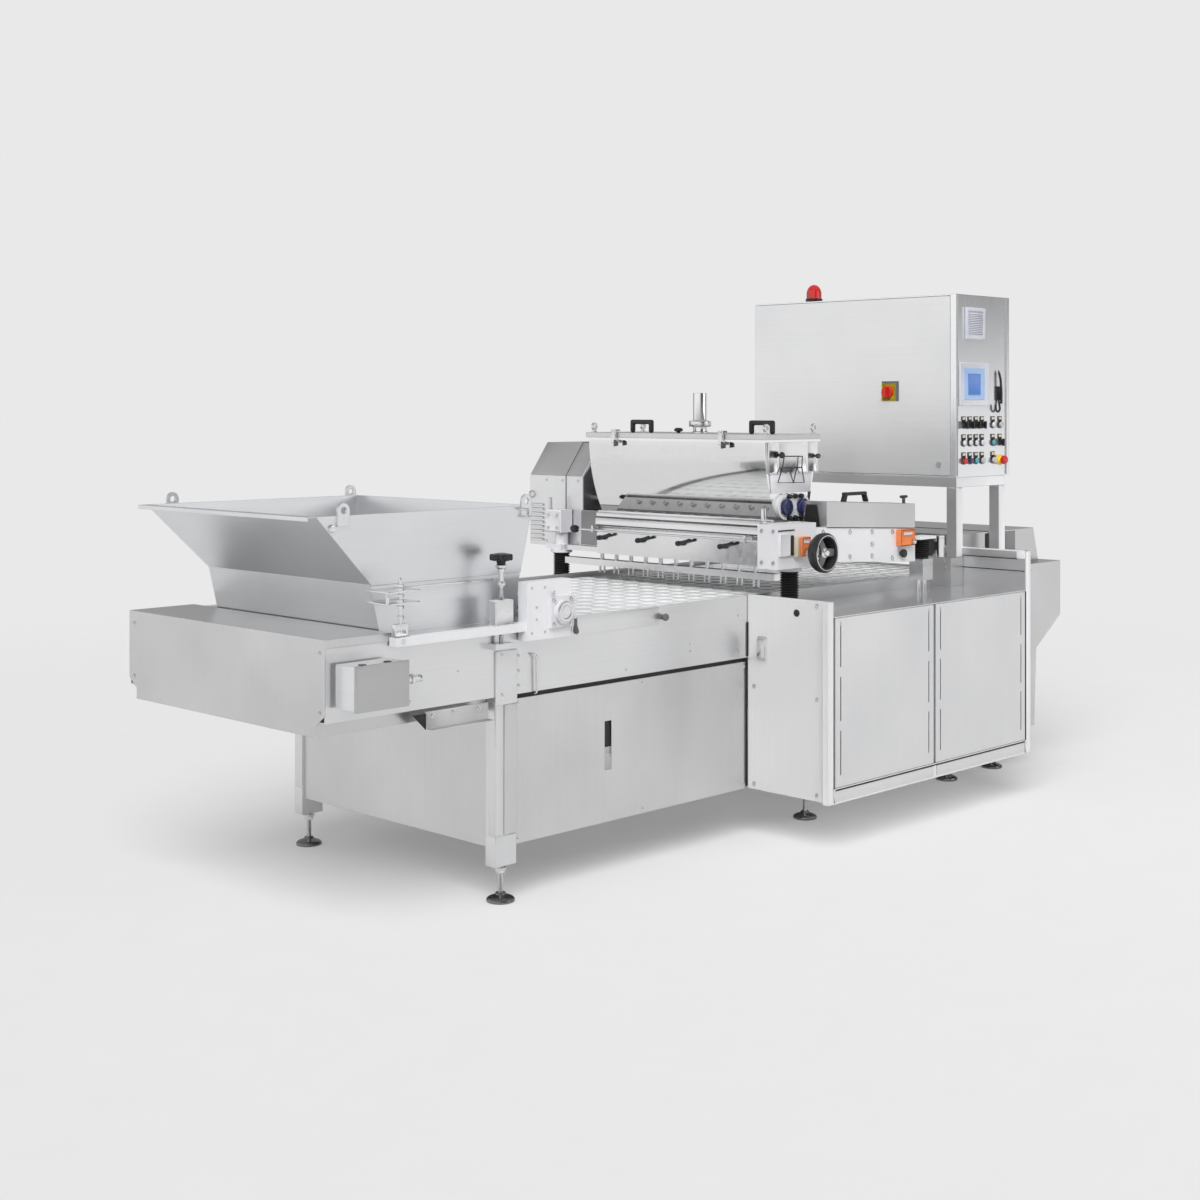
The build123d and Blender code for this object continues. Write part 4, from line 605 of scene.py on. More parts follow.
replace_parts(bellows("bellowsNear", (1470, -100), bellowsSizes["column"]), "column_bellows")
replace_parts(bellows("bellowsFar", (1470, 1210), bellowsSizes["column"]), "column_bellows")
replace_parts(bellows("bellowsRear", (2360, -125), bellowsSizes["rear"]), "rear_bellows")
print("bellows done")

# Height screw and its star knob
star = {"x": -40, "y": -47.5, "lobes": 8, "ring": 31, "voxel": 0.0014, "smoothing": 4}
starCore = turned("starKnob", (star["x"], star["y"], 0), up,
    [(12, 1166), (15, 1168), (17, 1178), (30, 1182),
    (32, 1186), (32, 1197), (28, 1202), (16, 1205), (8, 1205)], 48)
lobe = turned("starLobe", (star["x"] + star["ring"], star["y"], 0),
    up, [(6, 1180), (8.4, 1182), (8.9, 1187), (8.9, 1196), (8, 1200), (5, 1202)], 20)
lobeShifts = []
for turn in range(1, star["lobes"]):
    angle = 2 * math.pi * turn / star["lobes"]
    lobeShifts.append((star["ring"] * (math.cos(angle) - 1), star["ring"] * math.sin(angle), 0))
starKnob = join("starKnob", [starCore, copies(lobe, lobeShifts)])
grab(starKnob)
bpy.ops.object.modifier_add(type="REMESH")
starKnob.modifiers[-1].mode = "VOXEL"
starKnob.modifiers[-1].voxel_size = star["voxel"]
bpy.ops.object.modifier_apply(modifier=starKnob.modifiers[-1].name)
bpy.ops.object.modifier_add(type="SMOOTH")
starKnob.modifiers[-1].iterations = star["smoothing"]
bpy.ops.object.modifier_apply(modifier=starKnob.modifiers[-1].name)
bpy.ops.object.shade_smooth()
spindleRings = [(8, 887)] + thread(7, 8, 890, 4, 50)
spindleRings += [(8, 1092), (14, 1094), (15, 1096), (15, 1106), (14, 1108), (9, 1109), (9, 1140),
    (13, 1141), (13, 1150), (20, 1156), (21, 1160), (21, 1164), (13, 1168)]
heightSpindle = turned("heightSpindle", (star["x"], star["y"], 0), up, spindleRings, 20)
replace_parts(fit(starKnob, "height_knob", blackPlastic), "height_knob")
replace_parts(fit(heightSpindle, "height_knob", brightSteel), "height_knob")
print("height screw done")

# Handwheel
wheel = {"x": 1460, "y": -285, "z": 1130, "spokes": (0, 120, 240), "spokeWidth": 34, "spokeEnd": 61}
wheelPlace = (wheel["x"], wheel["y"], wheel["z"])
wheelRim = hollowRing("wheelRim", wheelPlace, near,
    [(60, 9), (64, 13), (70, 14), (76, 11), (79, 5),
    (79, -6), (76, -20), (68, -32), (56, -39), (48, -40), (47, -36), (54, -30), (60, -18), (61, -4)])
wheelEdge = hollowRing("wheelEdge", wheelPlace,
    near, [(66, 13.4), (68.5, 14.6), (71, 14.2), (69.5, 15.2), (67.5, 15.0)])
hub = turned("wheelHub", wheelPlace, near, [(17, -150),
    (17, -26), (22, -24), (23, -20), (23, 2), (20, 6), (14, 8), (13, 12), (11, 14), (5, 14.5)], 40)
spokes = []
for angle in wheel["spokes"]:
    end, half = wheel["x"] + wheel["spokeEnd"], wheel["spokeWidth"] / 2
    spoke = startBlock("wheelSpoke", (wheel["x"] + 14, end),
        (wheel["y"] - 2, wheel["y"] + 8), (wheel["z"] - half, wheel["z"] + half))
    soften(taper(spoke, right, (1, 1, 0.8), (end, wheel["y"] + 3, wheel["z"])), 2.5)
    grab(spoke)
    bpy.ops.transform.rotate(value=-math.radians(angle), orient_axis="Y", center_override=at(*wheelPlace))
    spokes.append(settle(spoke))
wheelFace = join("wheelSpokes", spokes)
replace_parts(fit(wheelRim, "handwheel", blackPlastic), "handwheel")
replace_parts(fit(wheelEdge, "handwheel", brightSteel), "handwheel")
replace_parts(fit(hub, "handwheel", brightSteel), "handwheel")
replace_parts(fit(wheelFace, "handwheel", slatePlastic), "handwheel")
print("handwheel done")

# Lid: bridge handles, inlet, eyes, clamps and a small knob
lid = {"top": 1592.3, "handles": ((1530, 90), (1530, 766)), "inlet": (1630, 516, 0), "clampYs": (227, 841),
    "eyes": ((1470, 20), (1786, 20), (1470, 1000), (1786, 1000))}
lidHandles = join("lidHandles", [bridgeHandle("lidHandle",
    far, place, 130, 22, lid["top"], 1649, 20, fillet=0.44) for place in lid["handles"]])
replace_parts(fit(lidHandles, "lid", blackPlastic), "lid_fittings")
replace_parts(fit(turned("inletPipe", lid["inlet"], up,
    [(37, lid["top"]), (37, 1596), (34, 1598), (30.5, 1600), (30, 1604), (30, 1616), (32, 1618), (41, 1620),
    (43, 1622), (43, 1642), (41, 1644), (32, 1646), (30, 1649), (30, 1762), (29.4, 1764.4), (28.6, 1765),
    (27.6, 1764), (27.5, 1760), (27.5, 1606)], 56), "lid", mirrorSteel), "lid_fittings")
fit(hollowRing("inletClamp", lid["inlet"], up,
    [(43.2, 1619), (46, 1619), (48, 1622), (48, 1642), (46, 1645), (43.2, 1645)], 48),
    "lid", brightSteel)
eyeSet = []
for x, y in lid["eyes"]:
    eyeSet.append(hollowRing("lidEye", (x, y, 1618),
        near, [(8, -6), (15.5, -6), (17, -4.5), (17, 4.5), (15.5, 6), (8, 6), (7, 0)], 32))
    eyeSet.append(turned("lidEyeStem", (x, y, 0),
        up, [(13, lid["top"]), (13, 1596), (7, 1598), (7, 1603)], 24))
fit(join("lidEyes", eyeSet), "lid", brightSteel)
catchSet = []
for y in lid["clampYs"]:
    catchSet.append(facedBlock("lidClamp", left, (1424, 1437), (y - 12, y + 12), (1546, 1606), 4, -3, 1.5))
    catchSet.append(soften(startBlock("lidClampHook", (1424, 1462), (y - 9, y + 9), (1598, 1606)), 2))
fit(join("lidClamps", catchSet), "lid", brightSteel)
tabSet = []
for y in lid["clampYs"]:
    tab = startBlock("lidClampLever", (1414, 1424), (y - 34, y - 12), (1532, 1562))
    tabSet.append(soften(taper(tab, near, (1, 1, 0.55), (1419, y - 34, 1540)), 2.5, 3))
fit(join("lidClampLevers", tabSet), "lid", steelDark)
fit(turned("lidKnob", (1540, 560, 0), up, [(7, lid["top"]), (7, 1597), (16, 1600), (19, 1603), (19, 1608),
    (15, 1613), (8, 1615)], 32), "lid", blackPlastic)
print("lid done")

# Beacon
beacon = {"x": 2850, "y": 836, "ribs": 12, "ribRing": 35.2, "shoulder": 2268, "dome": 42}
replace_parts(fit(turned("beaconBase", (beacon["x"], beacon["y"], 0), up,
    [(42, 2212), (42, 2216), (40, 2219), (40, 2232), (42, 2234), (42, 2239), (39, 2241)], 48),
    "machine", blackPlastic), "beacon")
domeRings = [(36, 2240), (36.5, 2242), (36, 2250), (35.5, beacon["shoulder"])]
for step in range(1, 9):
    angle = math.radians(90 * step / 8.6)
    domeRings.append((35.5 * math.cos(angle) + 0.4, beacon["shoulder"] + beacon["dome"] * math.sin(angle)))
domeSet = [turned("beaconDome", (beacon["x"], beacon["y"], 0), up, domeRings, 48)]
for step in range(beacon["ribs"]):
    angle = 2 * math.pi * step / beacon["ribs"]
    ribPlace = (beacon["x"] + beacon["ribRing"] * math.cos(angle),
        beacon["y"] + beacon["ribRing"] * math.sin(angle), 0)
    domeSet.append(turned("beaconRib", ribPlace,
        up, [(1.8, 2243), (1.8, beacon["shoulder"]), (1.0, 2276)], 8))
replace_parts(fit(join("beaconDome", domeSet), "machine", redLens), "beacon")

# Vent grille and operator screen
grille = {"x": (2704, 2861), "z": (2011, 2155), "y": -125, "depth": 12, "slats": 13}
grilleLow, grilleFace = grille["z"][0] + 20, grille["y"]
grilleFrame = facedBlock("ventGrille", near, grille["x"],
    (grilleFace - grille["depth"], grilleFace), grille["z"], 17, 0, 2.5, 3, drawn=-7)
slatPitch = (grille["z"][1] - grille["z"][0] - 40) / grille["slats"]
slat = startBlock("ventSlat", (grille["x"][0] + 20, grille["x"][1] - 20),
    (grilleFace - 11, grilleFace - 3), (grilleLow, grilleLow + slatPitch * 0.55))
soften(lowerFace(slat, near, 3), 0.8)
copies(slat, [(0, 0, slatPitch * step) for step in range(1, grille["slats"])])
ventBack = facedBlock("ventShadow", near, (grille["x"][0] + 18, grille["x"][1] - 18),
    (grilleFace - 4, grilleFace - 2), (grille["z"][0] + 18, grille["z"][1] - 18), 3, 0.5)
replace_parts(fit(join("ventGrille", [grilleFrame, slat]), "machine", paleGrey),
    "panel_fittings")
fit(ventBack, "machine", blackPlastic)

screen = {"x": (2655, 2895), "z": (1709, 1906),
    "y": -125, "depth": 10, "glass": ((2722, 2822), (1760, 1855))}
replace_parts(fit(facedBlock("operatorScreen", near, screen["x"],
    (screen["y"] - screen["depth"], screen["y"]), screen["z"], 10, -3, 3, 3),
    "machine", paleGrey), "panel_fittings")
fit(facedBlock("screenSurround", near, (2688, 2858),
    (screen["y"] - 9, screen["y"] - 5), (1738, 1880), 6, -1, 1.2), "machine", skyBlue)
fit(facedBlock("screenGlass", near, screen["glass"][0], (screen["y"] - 10.5, screen["y"] - 8),
    screen["glass"][1], 4, -0.5, 0.8), "machine", screenBlue)

# Control panel: bezels, label holders, lamps and the stylus
panel = {"xs": (2695, 2745, 2795, 2845, 2937, 2997), "zs": (1623, 1542, 1461), "y": -125, "stop": (5, 2)}
bezelPlaces = [(x, panel["y"], z) for row, z in enumerate(panel["zs"])
    for column, x in enumerate(panel["xs"]) if (column, row) != panel["stop"]]
bezel = hollowRing("controlBezels", bezelPlaces[0],
    near, [(13.4, 0), (16, 0), (16.5, 1.5), (16.5, 5), (15.5, 7), (14, 7.5), (13.4, 6)], 32)
copiesAt(bezel, bezelPlaces)
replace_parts(fit(bezel, "machine", steelDark), "control_bezels")
firstX, panelY, firstZ = bezelPlaces[0]
holder = facedBlock("labelHolders", near, (firstX - 15, firstX + 15),
    (panelY - 4, panelY), (firstZ + 15.5, firstZ + 39), 3, -1, 0.8)
card = facedBlock("labelCards", near, (firstX - 11, firstX + 11),
    (panelY - 5, panelY - 2), (firstZ + 24, firstZ + 35), 1, 0.3, 0.5)
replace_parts(fit(copiesAt(holder, bezelPlaces), "machine", blackPlastic), "control_bezels")
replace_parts(fit(copiesAt(card, bezelPlaces), "machine", creamCard), "control_bezels")
lampSets = {"lampsPale": (((4, 0), (0, 1), (1, 1), (2, 1)), paleLens),
    "lampsGreen": (((4, 1), (2, 2)), greenLens), "lampsGrey": (((3, 1),), paleGrey)}
for lampName, (spots, lens) in lampSets.items():
    places = [(panel["xs"][column], panel["y"], panel["zs"][row]) for column, row in spots]
    lamp = turned(lampName, places[0], near, [(13, 0), (13, 8), (12.2, 11), (9.5, 13), (5, 14)], 28)
    copiesAt(lamp, places)
    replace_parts(fit(lamp, "machine", lens), "control_bezels")
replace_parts(fit(turned("stopPlate", (panel["xs"][panel["stop"][0]], panel["y"],
    panel["zs"][panel["stop"][1]]), near, [(24, 0), (24.5, 1), (24.5, 4), (23.5, 5), (16, 5), (15, 5.5),
    (14, 12)], 48), "machine", yellowPlastic), "control_bezels")
stylus = rod("panelStylus", [(2978, -135, 1862),
    (2984, -139, 1830), (2990, -140, 1770), (2990, -139, 1720)], 5.5, 16)
stylusTip = turned("stylusTip", (2978, -135, 1858), (-0.18, 0.08, 1), [(5.5, 0), (4, 8), (1.5, 16)], 16)
clip = facedBlock("stylusClip", near, (2962, 2998), (-134, -125), (1735, 1800), 6, -3, 2.5, 3)
hookBend = []
for step in range(9):
    angle = math.radians(-22.5 * step)
    hookBend.append((2962 + 17 * math.cos(angle), -138, 1700 + 17 * math.sin(angle)))
hook = rod("stylusHook", [(2980, -131, 1738), (2979, -137, 1706)] + hookBend + [(2945, -138, 1716)], 5.0)
fit(join("panelStylus", [stylus, stylusTip, clip, hook]), "machine", blackPlastic)
print("control panel done")

# Main switch, door lock and the control cabinet's edges
cabinetHigh = (1394, 2206)
# a dark plate behind the switch plate: painted shadow
fit(facedBlock("switchShadePlate", left, (2632.5, 2636), (184, 276), (1732, 1824), 3, 0.5, 1.0),
    "electrical_door", slatePlastic)
fit(hollowRing("switchRing", (2632, 239, 1774), left,
    [(26.3, 0), (28, 0), (28.6, 1), (28, 2.4), (26.5, 2.8)], 40),
    "electrical_door", redPlastic)
fit(turned("doorLock", (2636, -33, 1443), left,
    [(15, 0), (15, 3), (13.5, 5), (9, 5), (8.5, 3.5), (4, 3.5), (3.5, 6), (2, 6)], 32),
    "electrical_door", brightSteel)
fit(facedBlock("doorSeal", left, (2638, 2652), (-97, -95), cabinetHigh, 0.5, -1),
    "machine", blackRubber)
edgeLines = [(near, xs, (-127, -125), cabinetHigh) for xs in ((2640, 2650), (3044, 3056))]
fit(facedSet("cabinetEdges", edgeLines, 2, -0.6, 0.6), "machine", steelMatt)
print("main switch done")

# Hopper end frame with its wire guard and knobs
hopperEnd = {"x": (1464, 1788), "z": (1432, 1560),
    "y": (0, 10), "bars": (1530, 1720), "guardY": -9, "wire": 2.6}
endFrame = startBlock("hopperEndFrame", hopperEnd["x"], hopperEnd["y"], hopperEnd["z"])
for x in hopperEnd["bars"]:
    cut(endFrame, at(x, 0, 0), right)
openFaces(endFrame, facing(near))
bpy.ops.mesh.inset(thickness=0.009, depth=-0.004, use_individual=True)
closeEdit(endFrame)
fit(soften(endFrame, 1.5), "head", brightSteel)
endApron = startBlock("hopperEndApron", (1478, 1752), (4, 10), (1352, 1434))
taper(endApron, down, (0.93, 1, 1), (1612, 7, 1352))
fit(soften(endApron, 1.5), "head", whiteAlloy)
guardRoutes = {"wireGuard": ((1552, 1502), (1672, 1500), (1668, 1455), (1684, 1392), (1510, 1396),
    (1540, 1456)), "wireGuardBar": ((1540, 1456), (1668, 1455)),
    "wireGuardVee": ((1580, 1455), (1612, 1394), (1634, 1455))}
guardSet = []
for name, route in guardRoutes.items():
    points = [(x, hopperEnd["guardY"], z) for x, z in route]
    guardSet.append(rod(name, points, hopperEnd["wire"], closed=name == "wireGuard"))
for x, z in guardRoutes["wireGuard"][:2]:  # two legs hold the guard
    guardSet.append(rod("wireGuardLeg", [(x, hopperEnd["guardY"], z), (x, 2, z)], hopperEnd["wire"]))
fit(join("wireGuard", guardSet), "head", steelDark)
fit(turned("hopperEndKnob", (1528, 0, 1508), near,
    [(5, 0), (5, 8), (9, 10), (13, 13), (13, 19), (11, 23), (6, 24)], 32),
    "head", blackPlastic)
fit(turned("hopperEndStud", (1772, 0, 1500), near,
    [(6, 0), (6, 6), (10, 8), (10, 18), (8, 21), (4, 22)], 24), "head", steelDark)

# Bearing cover with its black clamps and blue shaft caps
bearing = {"xs": (1567, 1673), "z": 1294, "face": -6, "clampXs": (1582, 1622, 1660), "clampRise": 44}
capPlaces = [(x, bearing["face"], bearing["z"]) for x in bearing["xs"]]
caps = turned("shaftCaps", capPlaces[0], near,
    [(33, 0), (34, 2), (34, 9), (32, 13), (24, 16), (20, 16), (19, 14), (10, 14), (9, 17), (4, 18)], 40)
fit(copiesAt(caps, capPlaces), "head", bluePlastic)
boneSet = []
for z in (bearing["z"] + bearing["clampRise"], bearing["z"] - bearing["clampRise"]):
    for x in bearing["clampXs"]:
        boneSet.append(turned("bearingClamp", (x, bearing["face"] + 2, z),
            near, [(9, 0), (10, 2), (10, 13), (8, 17), (4, 18)], 20))
    bar = startBlock("bearingClampBar", (1582, 1660),
        (bearing["face"] - 9, bearing["face"] + 2), (z - 4.5, z + 4.5))
    boneSet.append(soften(bar, 2))
fit(join("bearingClamps", boneSet), "head", blackPlastic)
coverTrim = hollowRing("bearingTrim", capPlaces[0],
    near, [(36, 0), (40, 0), (40.5, 1.5), (39, 3), (37, 3)], 48)
fit(copiesAt(coverTrim, capPlaces), "head", brightSteel)

# Near column block: panel, slots, spacer, top post, screws and the flanges over both bellows
blockFace = -165
fit(facedBlock("blockPanel", near, (1322, 1386), (-174, blockFace), (1116, 1204), 5, -2, 1.5),
    "head", whiteAlloy)
blockSlots = [(near, (1392, 1408), (-172, blockFace), (1118, 1196)),
    (near, (1316, 1420), (-167, blockFace), (1214, 1219))]
fit(facedSet("blockSlots", blockSlots, 1.5, -1), "head", blackPlastic)
fit(facedBlock("indicatorSpacer", near, (1409, 1432), (-186, blockFace), (1110, 1190), 4, 2, 1.5),
    "head", beigePlastic)
topPost = turned("blockPost", (1334, -78, 0), up,
    [(14, 1240), (14, 1243), (11, 1244), (11, 1298), (9.5, 1301), (5, 1301)], 28)
postNut = turned("blockPostNut", (1334, -78, 0), up, [(15, 1240), (17, 1241), (17, 1250), (15, 1252)], 6)
fit(join("blockPost", [topPost, postNut]), "head", brightSteel)
fit(screwHeads("blockScrews", [(1315, y, z) for y in (-84, -143) for z in (1090, 1215)], left, 7, 5),
    "head", brightSteel)
columnFlange = hollowRing("columnFlanges", (1470, -100, 0),
    up, [(39, 1046), (47, 1046), (49, 1048), (49, 1062), (47, 1064), (39, 1064)], 48)
copies(columnFlange, [(0, 1310, 0)])
fit(columnFlange, "head", whiteAlloy)

# Position indicators: rounded housings with a window and a small knob
indicators = {"indicatorFront": ((1433, 1488), (-195, -165), (1112, 1188)),
    "indicatorRear": ((2150, 2258), (-166, -140), (1110, 1180))}
for indicatorName, (xs, ys, zs) in indicators.items():
    housing = startBlock(indicatorName, xs, ys, zs)
    openFaces(housing, facing(near))
    bpy.ops.mesh.inset(thickness=0.004, depth=0)
    bpy.ops.mesh.inset(thickness=0.003, depth=-0.002)
    closeEdit(housing)
    soften(housing, 3.5, 3)
    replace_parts(fit(housing, "head", orangePlastic), "position_indicators")
    margin = (xs[1] - xs[0]) * 0.22
    fit(facedBlock(indicatorName + "Window", near, (xs[0] + margin, xs[1] - margin),
        (ys[0] - 1.5, ys[0] + 3), (zs[1] - 24, zs[1] - 12), 2, -1, 1), "head", paleLens)
fit(turned("indicatorKnob", (2240, -166, 1126), near, [(9, 0), (11, 1), (11, 9), (9, 12), (4, 13)], 24),
    "head", brightSteel)

# Drive plate screws and side knob, the cover's handle, knob and flap, and the rear drive
plate = {"face": -140, "screws": ((1822, 1187), (1976, 1180), (2122, 1173), (1822, 1085), (1976, 1080),
    (1976, 1128), (1640, 1195), (1640, 1092), (2122, 1062))}
fit(screwHeads("plateScrews", [(x, plate["face"], z) for x, z in plate["screws"]], near, 9, 5),
    "head", brightSteel)
fit(turned("plateKnob", (2182, plate["face"], 1078), near,
    [(9, 0), (9, 8), (16, 10), (18, 13), (18, 22), (16, 25), (10, 26)], 32),
    "head", blackPlastic)
fit(bridgeHandle("coverHandle", right, (1935, -80), 150, 24, 1303, 1347, 14, 1.18),
    "head", blackPlastic)
teeStem = turned("coverKnob", (2243, -115, 0), up, [(7, 1287), (7, 1312), (5, 1314)], 20)
teeBar = turned("coverKnobBar", (2219, -115, 1317),
    right, [(3, 0), (6, 2), (6.5, 8), (6.5, 40), (6, 46), (3, 48)], 16)
fit(join("coverKnob", [teeStem, teeBar]), "head", steelDark)
flap = startBlock("coverFlap", (1659, 1665), (-106, -24), (1214, 1304))
taper(flap, up, (1, 0.62, 1), (1662, -62, 1304))
fit(soften(insetFace(flap, left, 6, -2), 1.2), "head", blackRubber)
fit(rod("coverSeam", [(1662, -141.5, 1213.0), (2292, -141.5, 1180.2)], 1.6, 8),
    "head", steelDark)
rearDrive = {"x": (2384, 2420), "y": (-150, -78),
    "z": (1055, 1132), "bracket": (2416, 2462), "post": (2470, -150, 0)}
driveBlock = facedBlock("rearDrive", near, rearDrive["x"], rearDrive["y"], rearDrive["z"], 8, -3, 4, 3)
driveBracket = facedBlock("rearDriveBracket", near,
    rearDrive["bracket"], (-142, -128), (1074, 1112), 4, -2, 1.5)
fit(join("rearDrive", [driveBlock, driveBracket]), "head", blackRubber)
fit(turned("rearDrivePost", rearDrive["post"], up,
    [(17, 1044), (20, 1046), (20, 1126), (18, 1127), (18, 1129), (20, 1130), (20, 1139), (17, 1141)], 36),
    "head", brightSteel)
print("drive done")

# Manifold: rails and deck with dark strips of painted shade, tie rod, and dark plates of painted shade
# before the gear cover
rails = {"x": 1410, "ys": (-60, 922), "bands": ((8, 1226, 1242), (14, 1190, 1218), (6, 1158, 1184)),
    "grooveShades": ((5, 1219, 1225), (5, 1185, 1189))}
railSets = {kind: [(left, (rails["x"] - depth, rails["x"]), rails["ys"], (low, high))
    for depth, low, high in rails[kind]] for kind in ("bands", "grooveShades")}
fit(facedSet("manifoldRails", railSets["bands"], 3, -2, 1.2), "head", brightSteel)
# dark strips in the gaps between the rails: painted shade
fit(facedSet("railGrooveShade", railSets["grooveShades"], 1.2, -0.6), "head", steelDark)
deck = {"z": 1240, "ys": (-58, 920), "boltX": 1466,
    "bolts": range(20, 900, 80), "shadeStrips": (((1430, 1435), 1.5), ((1515, 1526), 4))}
fit(facedBlock("deckRail", up, (1411, 1428), deck["ys"], (deck["z"], deck["z"] + 11), 3, 1, 1.5),
    "head", brightSteel)
# dark strips on the deck: painted shade in the groove behind the rail, and painted shadow along the back
# where the hopper's sheet meets the deck
deckShadeStrips = [(up, xs, deck["ys"], (deck["z"], deck["z"] + high)) for xs, high in deck["shadeStrips"]]
fit(facedSet("deckShadeStrips", deckShadeStrips, 1, -0.4), "head", slatePlastic)
fit(screwHeads("deckBolts", [(deck["boltX"], y, deck["z"]) for y in deck["bolts"]], up, 13, 10),
    "head", brightSteel)
tie = {"x": 1372, "z": 1166, "bracketYs": (905, 40)}
tieRod = turned("tieRod", (tie["x"], -62, tie["z"]), far, [(5, 0), (5, 1070), (4, 1073)], 16)
tieKnob = turned("tieRodKnob", (tie["x"], 1008, tie["z"]),
    far, [(8, 0), (14, 4), (17, 12), (17, 28), (12, 36), (6, 38)], 24)
tieBrackets = [facedBlock("tieBracket", near, (1364, 1402), (y, y + 12), (1156, 1186), 4, -1, 2)
    for y in tie["bracketYs"]]
fit(join("tieRod", [tieRod] + tieBrackets), "head", brightSteel)
fit(tieKnob, "head", blackPlastic)
gearSlope = Vector((-150, 0, 110))  # the way that the gear cover's brow looks
# dark plates by the gear cover, standing in for its shadow: painted shade
gearShade = startBlock("gearShade", (1506, 1888), (1104, 1110), (1241, 1538))
cut(gearShade, at(1506, 0, 1388), gearSlope, use_fill=True, clear_outer=True)
gearSideShade = facedBlock("gearSideShade", left, (1494, 1500), (926, 1109), (1086, 1239), 6, -2, 1.0)
fit(join("gearShade", [soften(gearShade, 1.0), gearSideShade]), "head", paintedShadeSteel)
print("manifold done")

# Infeed end: screws, junction box lid and gland, post plate, bracket, grip rod and knobs
sideFace = -25
fit(screwHeads("coverScrews", [(-765, y, z) for y in (2, 1108) for z in (742, 930)], left, 7, 4),
    "machine", brightSteel)
junction = {"x": (-732, -524), "z": (757, 897), "face": -140, "lap": 3, "hingeXs": (-690, -590)}
# the lid in darker matt steel than the box: painted shade on the near face
fit(facedBlock("junctionLid", near, (junction["x"][0] - junction["lap"],
    junction["x"][1] + junction["lap"]), (junction["face"] - 5, junction["face"] + 3),
    (junction["z"][0] - junction["lap"], junction["z"][1] + junction["lap"]), 6, 1.5, 1.5),
    "machine", steelMatt)
hinges = [(up, (x - 10, x + 10), (-130, -112), (897, 902)) for x in junction["hingeXs"]]
fit(facedSet("junctionHinges", hinges, 4, -1, 1.5), "machine", steelDark)
glandPlace = (junction["x"][1], -90, 827)
gland = turned("junctionGland", glandPlace, right,
    [(13, 0), (13, 8), (10, 9), (10, 46), (12.4, 48),
    (12.4, 66), (9, 68), (9, 76), (12.4, 78), (12.4, 92), (10, 96), (6, 96), (5.5, 90)], 24)
glandNut = turned("junctionGlandNut", glandPlace, right, [(15, 50), (17, 51), (17, 61), (15, 62)], 6)
fit(join("junctionGland", [gland, glandNut]), "machine", brightSteel)
fit(facedBlock("postPlate", near, (-50, 50), (-31, sideFace), (682, 868), 3, 0.6, 1.5),
    "machine", steelUp)
fit(screwHeads("postScrews", [(-20, -31, 852), (-20, -31, 716), (62, sideFace, 842), (62, sideFace, 790),
    (62, sideFace, 738)], near, 6, 4), "machine", brightSteel)
under = {"x": (-357, -85), "lip": 650, "face": -32, "studs": ((-330, 684), (-240, 686), (-130, 684))}
underPlate = startBlock("underBracket", under["x"], (under["face"], sideFace), (644, 700))
openFaces(underPlate, facing(down))
push((0, 0, -0.004))
closeEdit(underPlate)
openFaces(underPlate, lambda centre, normal: normal.y < -0.9 and centre.z < at(0, 0, under["lip"]).z)
push((0, -0.030, 0))
closeEdit(underPlate)
fit(soften(underPlate, 1.2), "machine", steelAlong)
# a black wedge under the side plate, left of the bracket: painted shadow
underShade = startBlock("underShade", (-412, -350), (-28, sideFace), (640, 694))
taper(underShade, down, (0.1, 1, 1), (-350, 0, 640))
fit(soften(underShade, 0.6), "machine", blackRubber)
fit(screwHeads("underStuds", [(x, under["face"], z) for x, z in under["studs"]], near, 7, 6),
    "machine", brightSteel)
fit(rod("gripRod", [(118, -31, 844), (126, -35, 842), (133, -37, 835), (137, -37, 825), (138, -37, 716),
    (138, -34, 708), (138, sideFace, 704)], 4.5, 16), "machine", brightSteel)
fit(facedBlock("sideStrip", near, (345, 775), (-27, sideFace), (886, 952), 2, 0.5, 0.8),
    "machine", steelAlong)
fit(turned("sideKnob", (794, sideFace, 914), near,
    [(10, 0), (10, 3), (6, 5), (6, 12), (12, 14), (14, 17), (14, 24), (11, 28), (5, 29)], 32),
    "machine", slatePlastic)
leverHub = turned("sideLever", (320, sideFace, 940), near, [(9, 0), (9, 4), (7, 6), (7, 20), (5, 22)], 24)
leverArm = turned("sideLeverArm", (320, -38, 950),
    (0.08, -0.12, -1), [(4, 0), (8, 3), (9, 12), (7, 22), (9, 36), (11, 46), (9, 53), (4, 56)], 20)
fit(join("sideLever", [leverHub, leverArm]), "machine", slatePlastic)
sideSpots = ((-214, 816), (955, 795), (955, 768), (1240, 880), (1240, 740), (600, 735), (-420, 740))
fit(screwHeads("sideScrews", [(x, sideFace, z) for x, z in sideSpots], near, 4.5, 2.5),
    "machine", brightSteel)
fit(screwHeads("skirtScrews", [(x, -18, z) for x in (66, 700, 1284) for z in (206, 676)], near, 6, 3),
    "machine", brightSteel)

# Black seals in the gaps round the near skirt, and a black flap behind its slot that paints the shade inside
skirtSeals = {"top": (near, (48, 1299), (-14, 4), (691, 709)),
    "end": (near, (1295, 1300), (-24, -18.5), (200, 690)),
    "side": (near, (1293, 1300), (-31, -25), (716, 850)), "flap": (near, (478, 548), (-12, -9), (462, 572))}
fit(facedSet("skirtSeals", skirtSeals.values(), 1, -0.5), "machine", blackRubber)
print("infeed done")

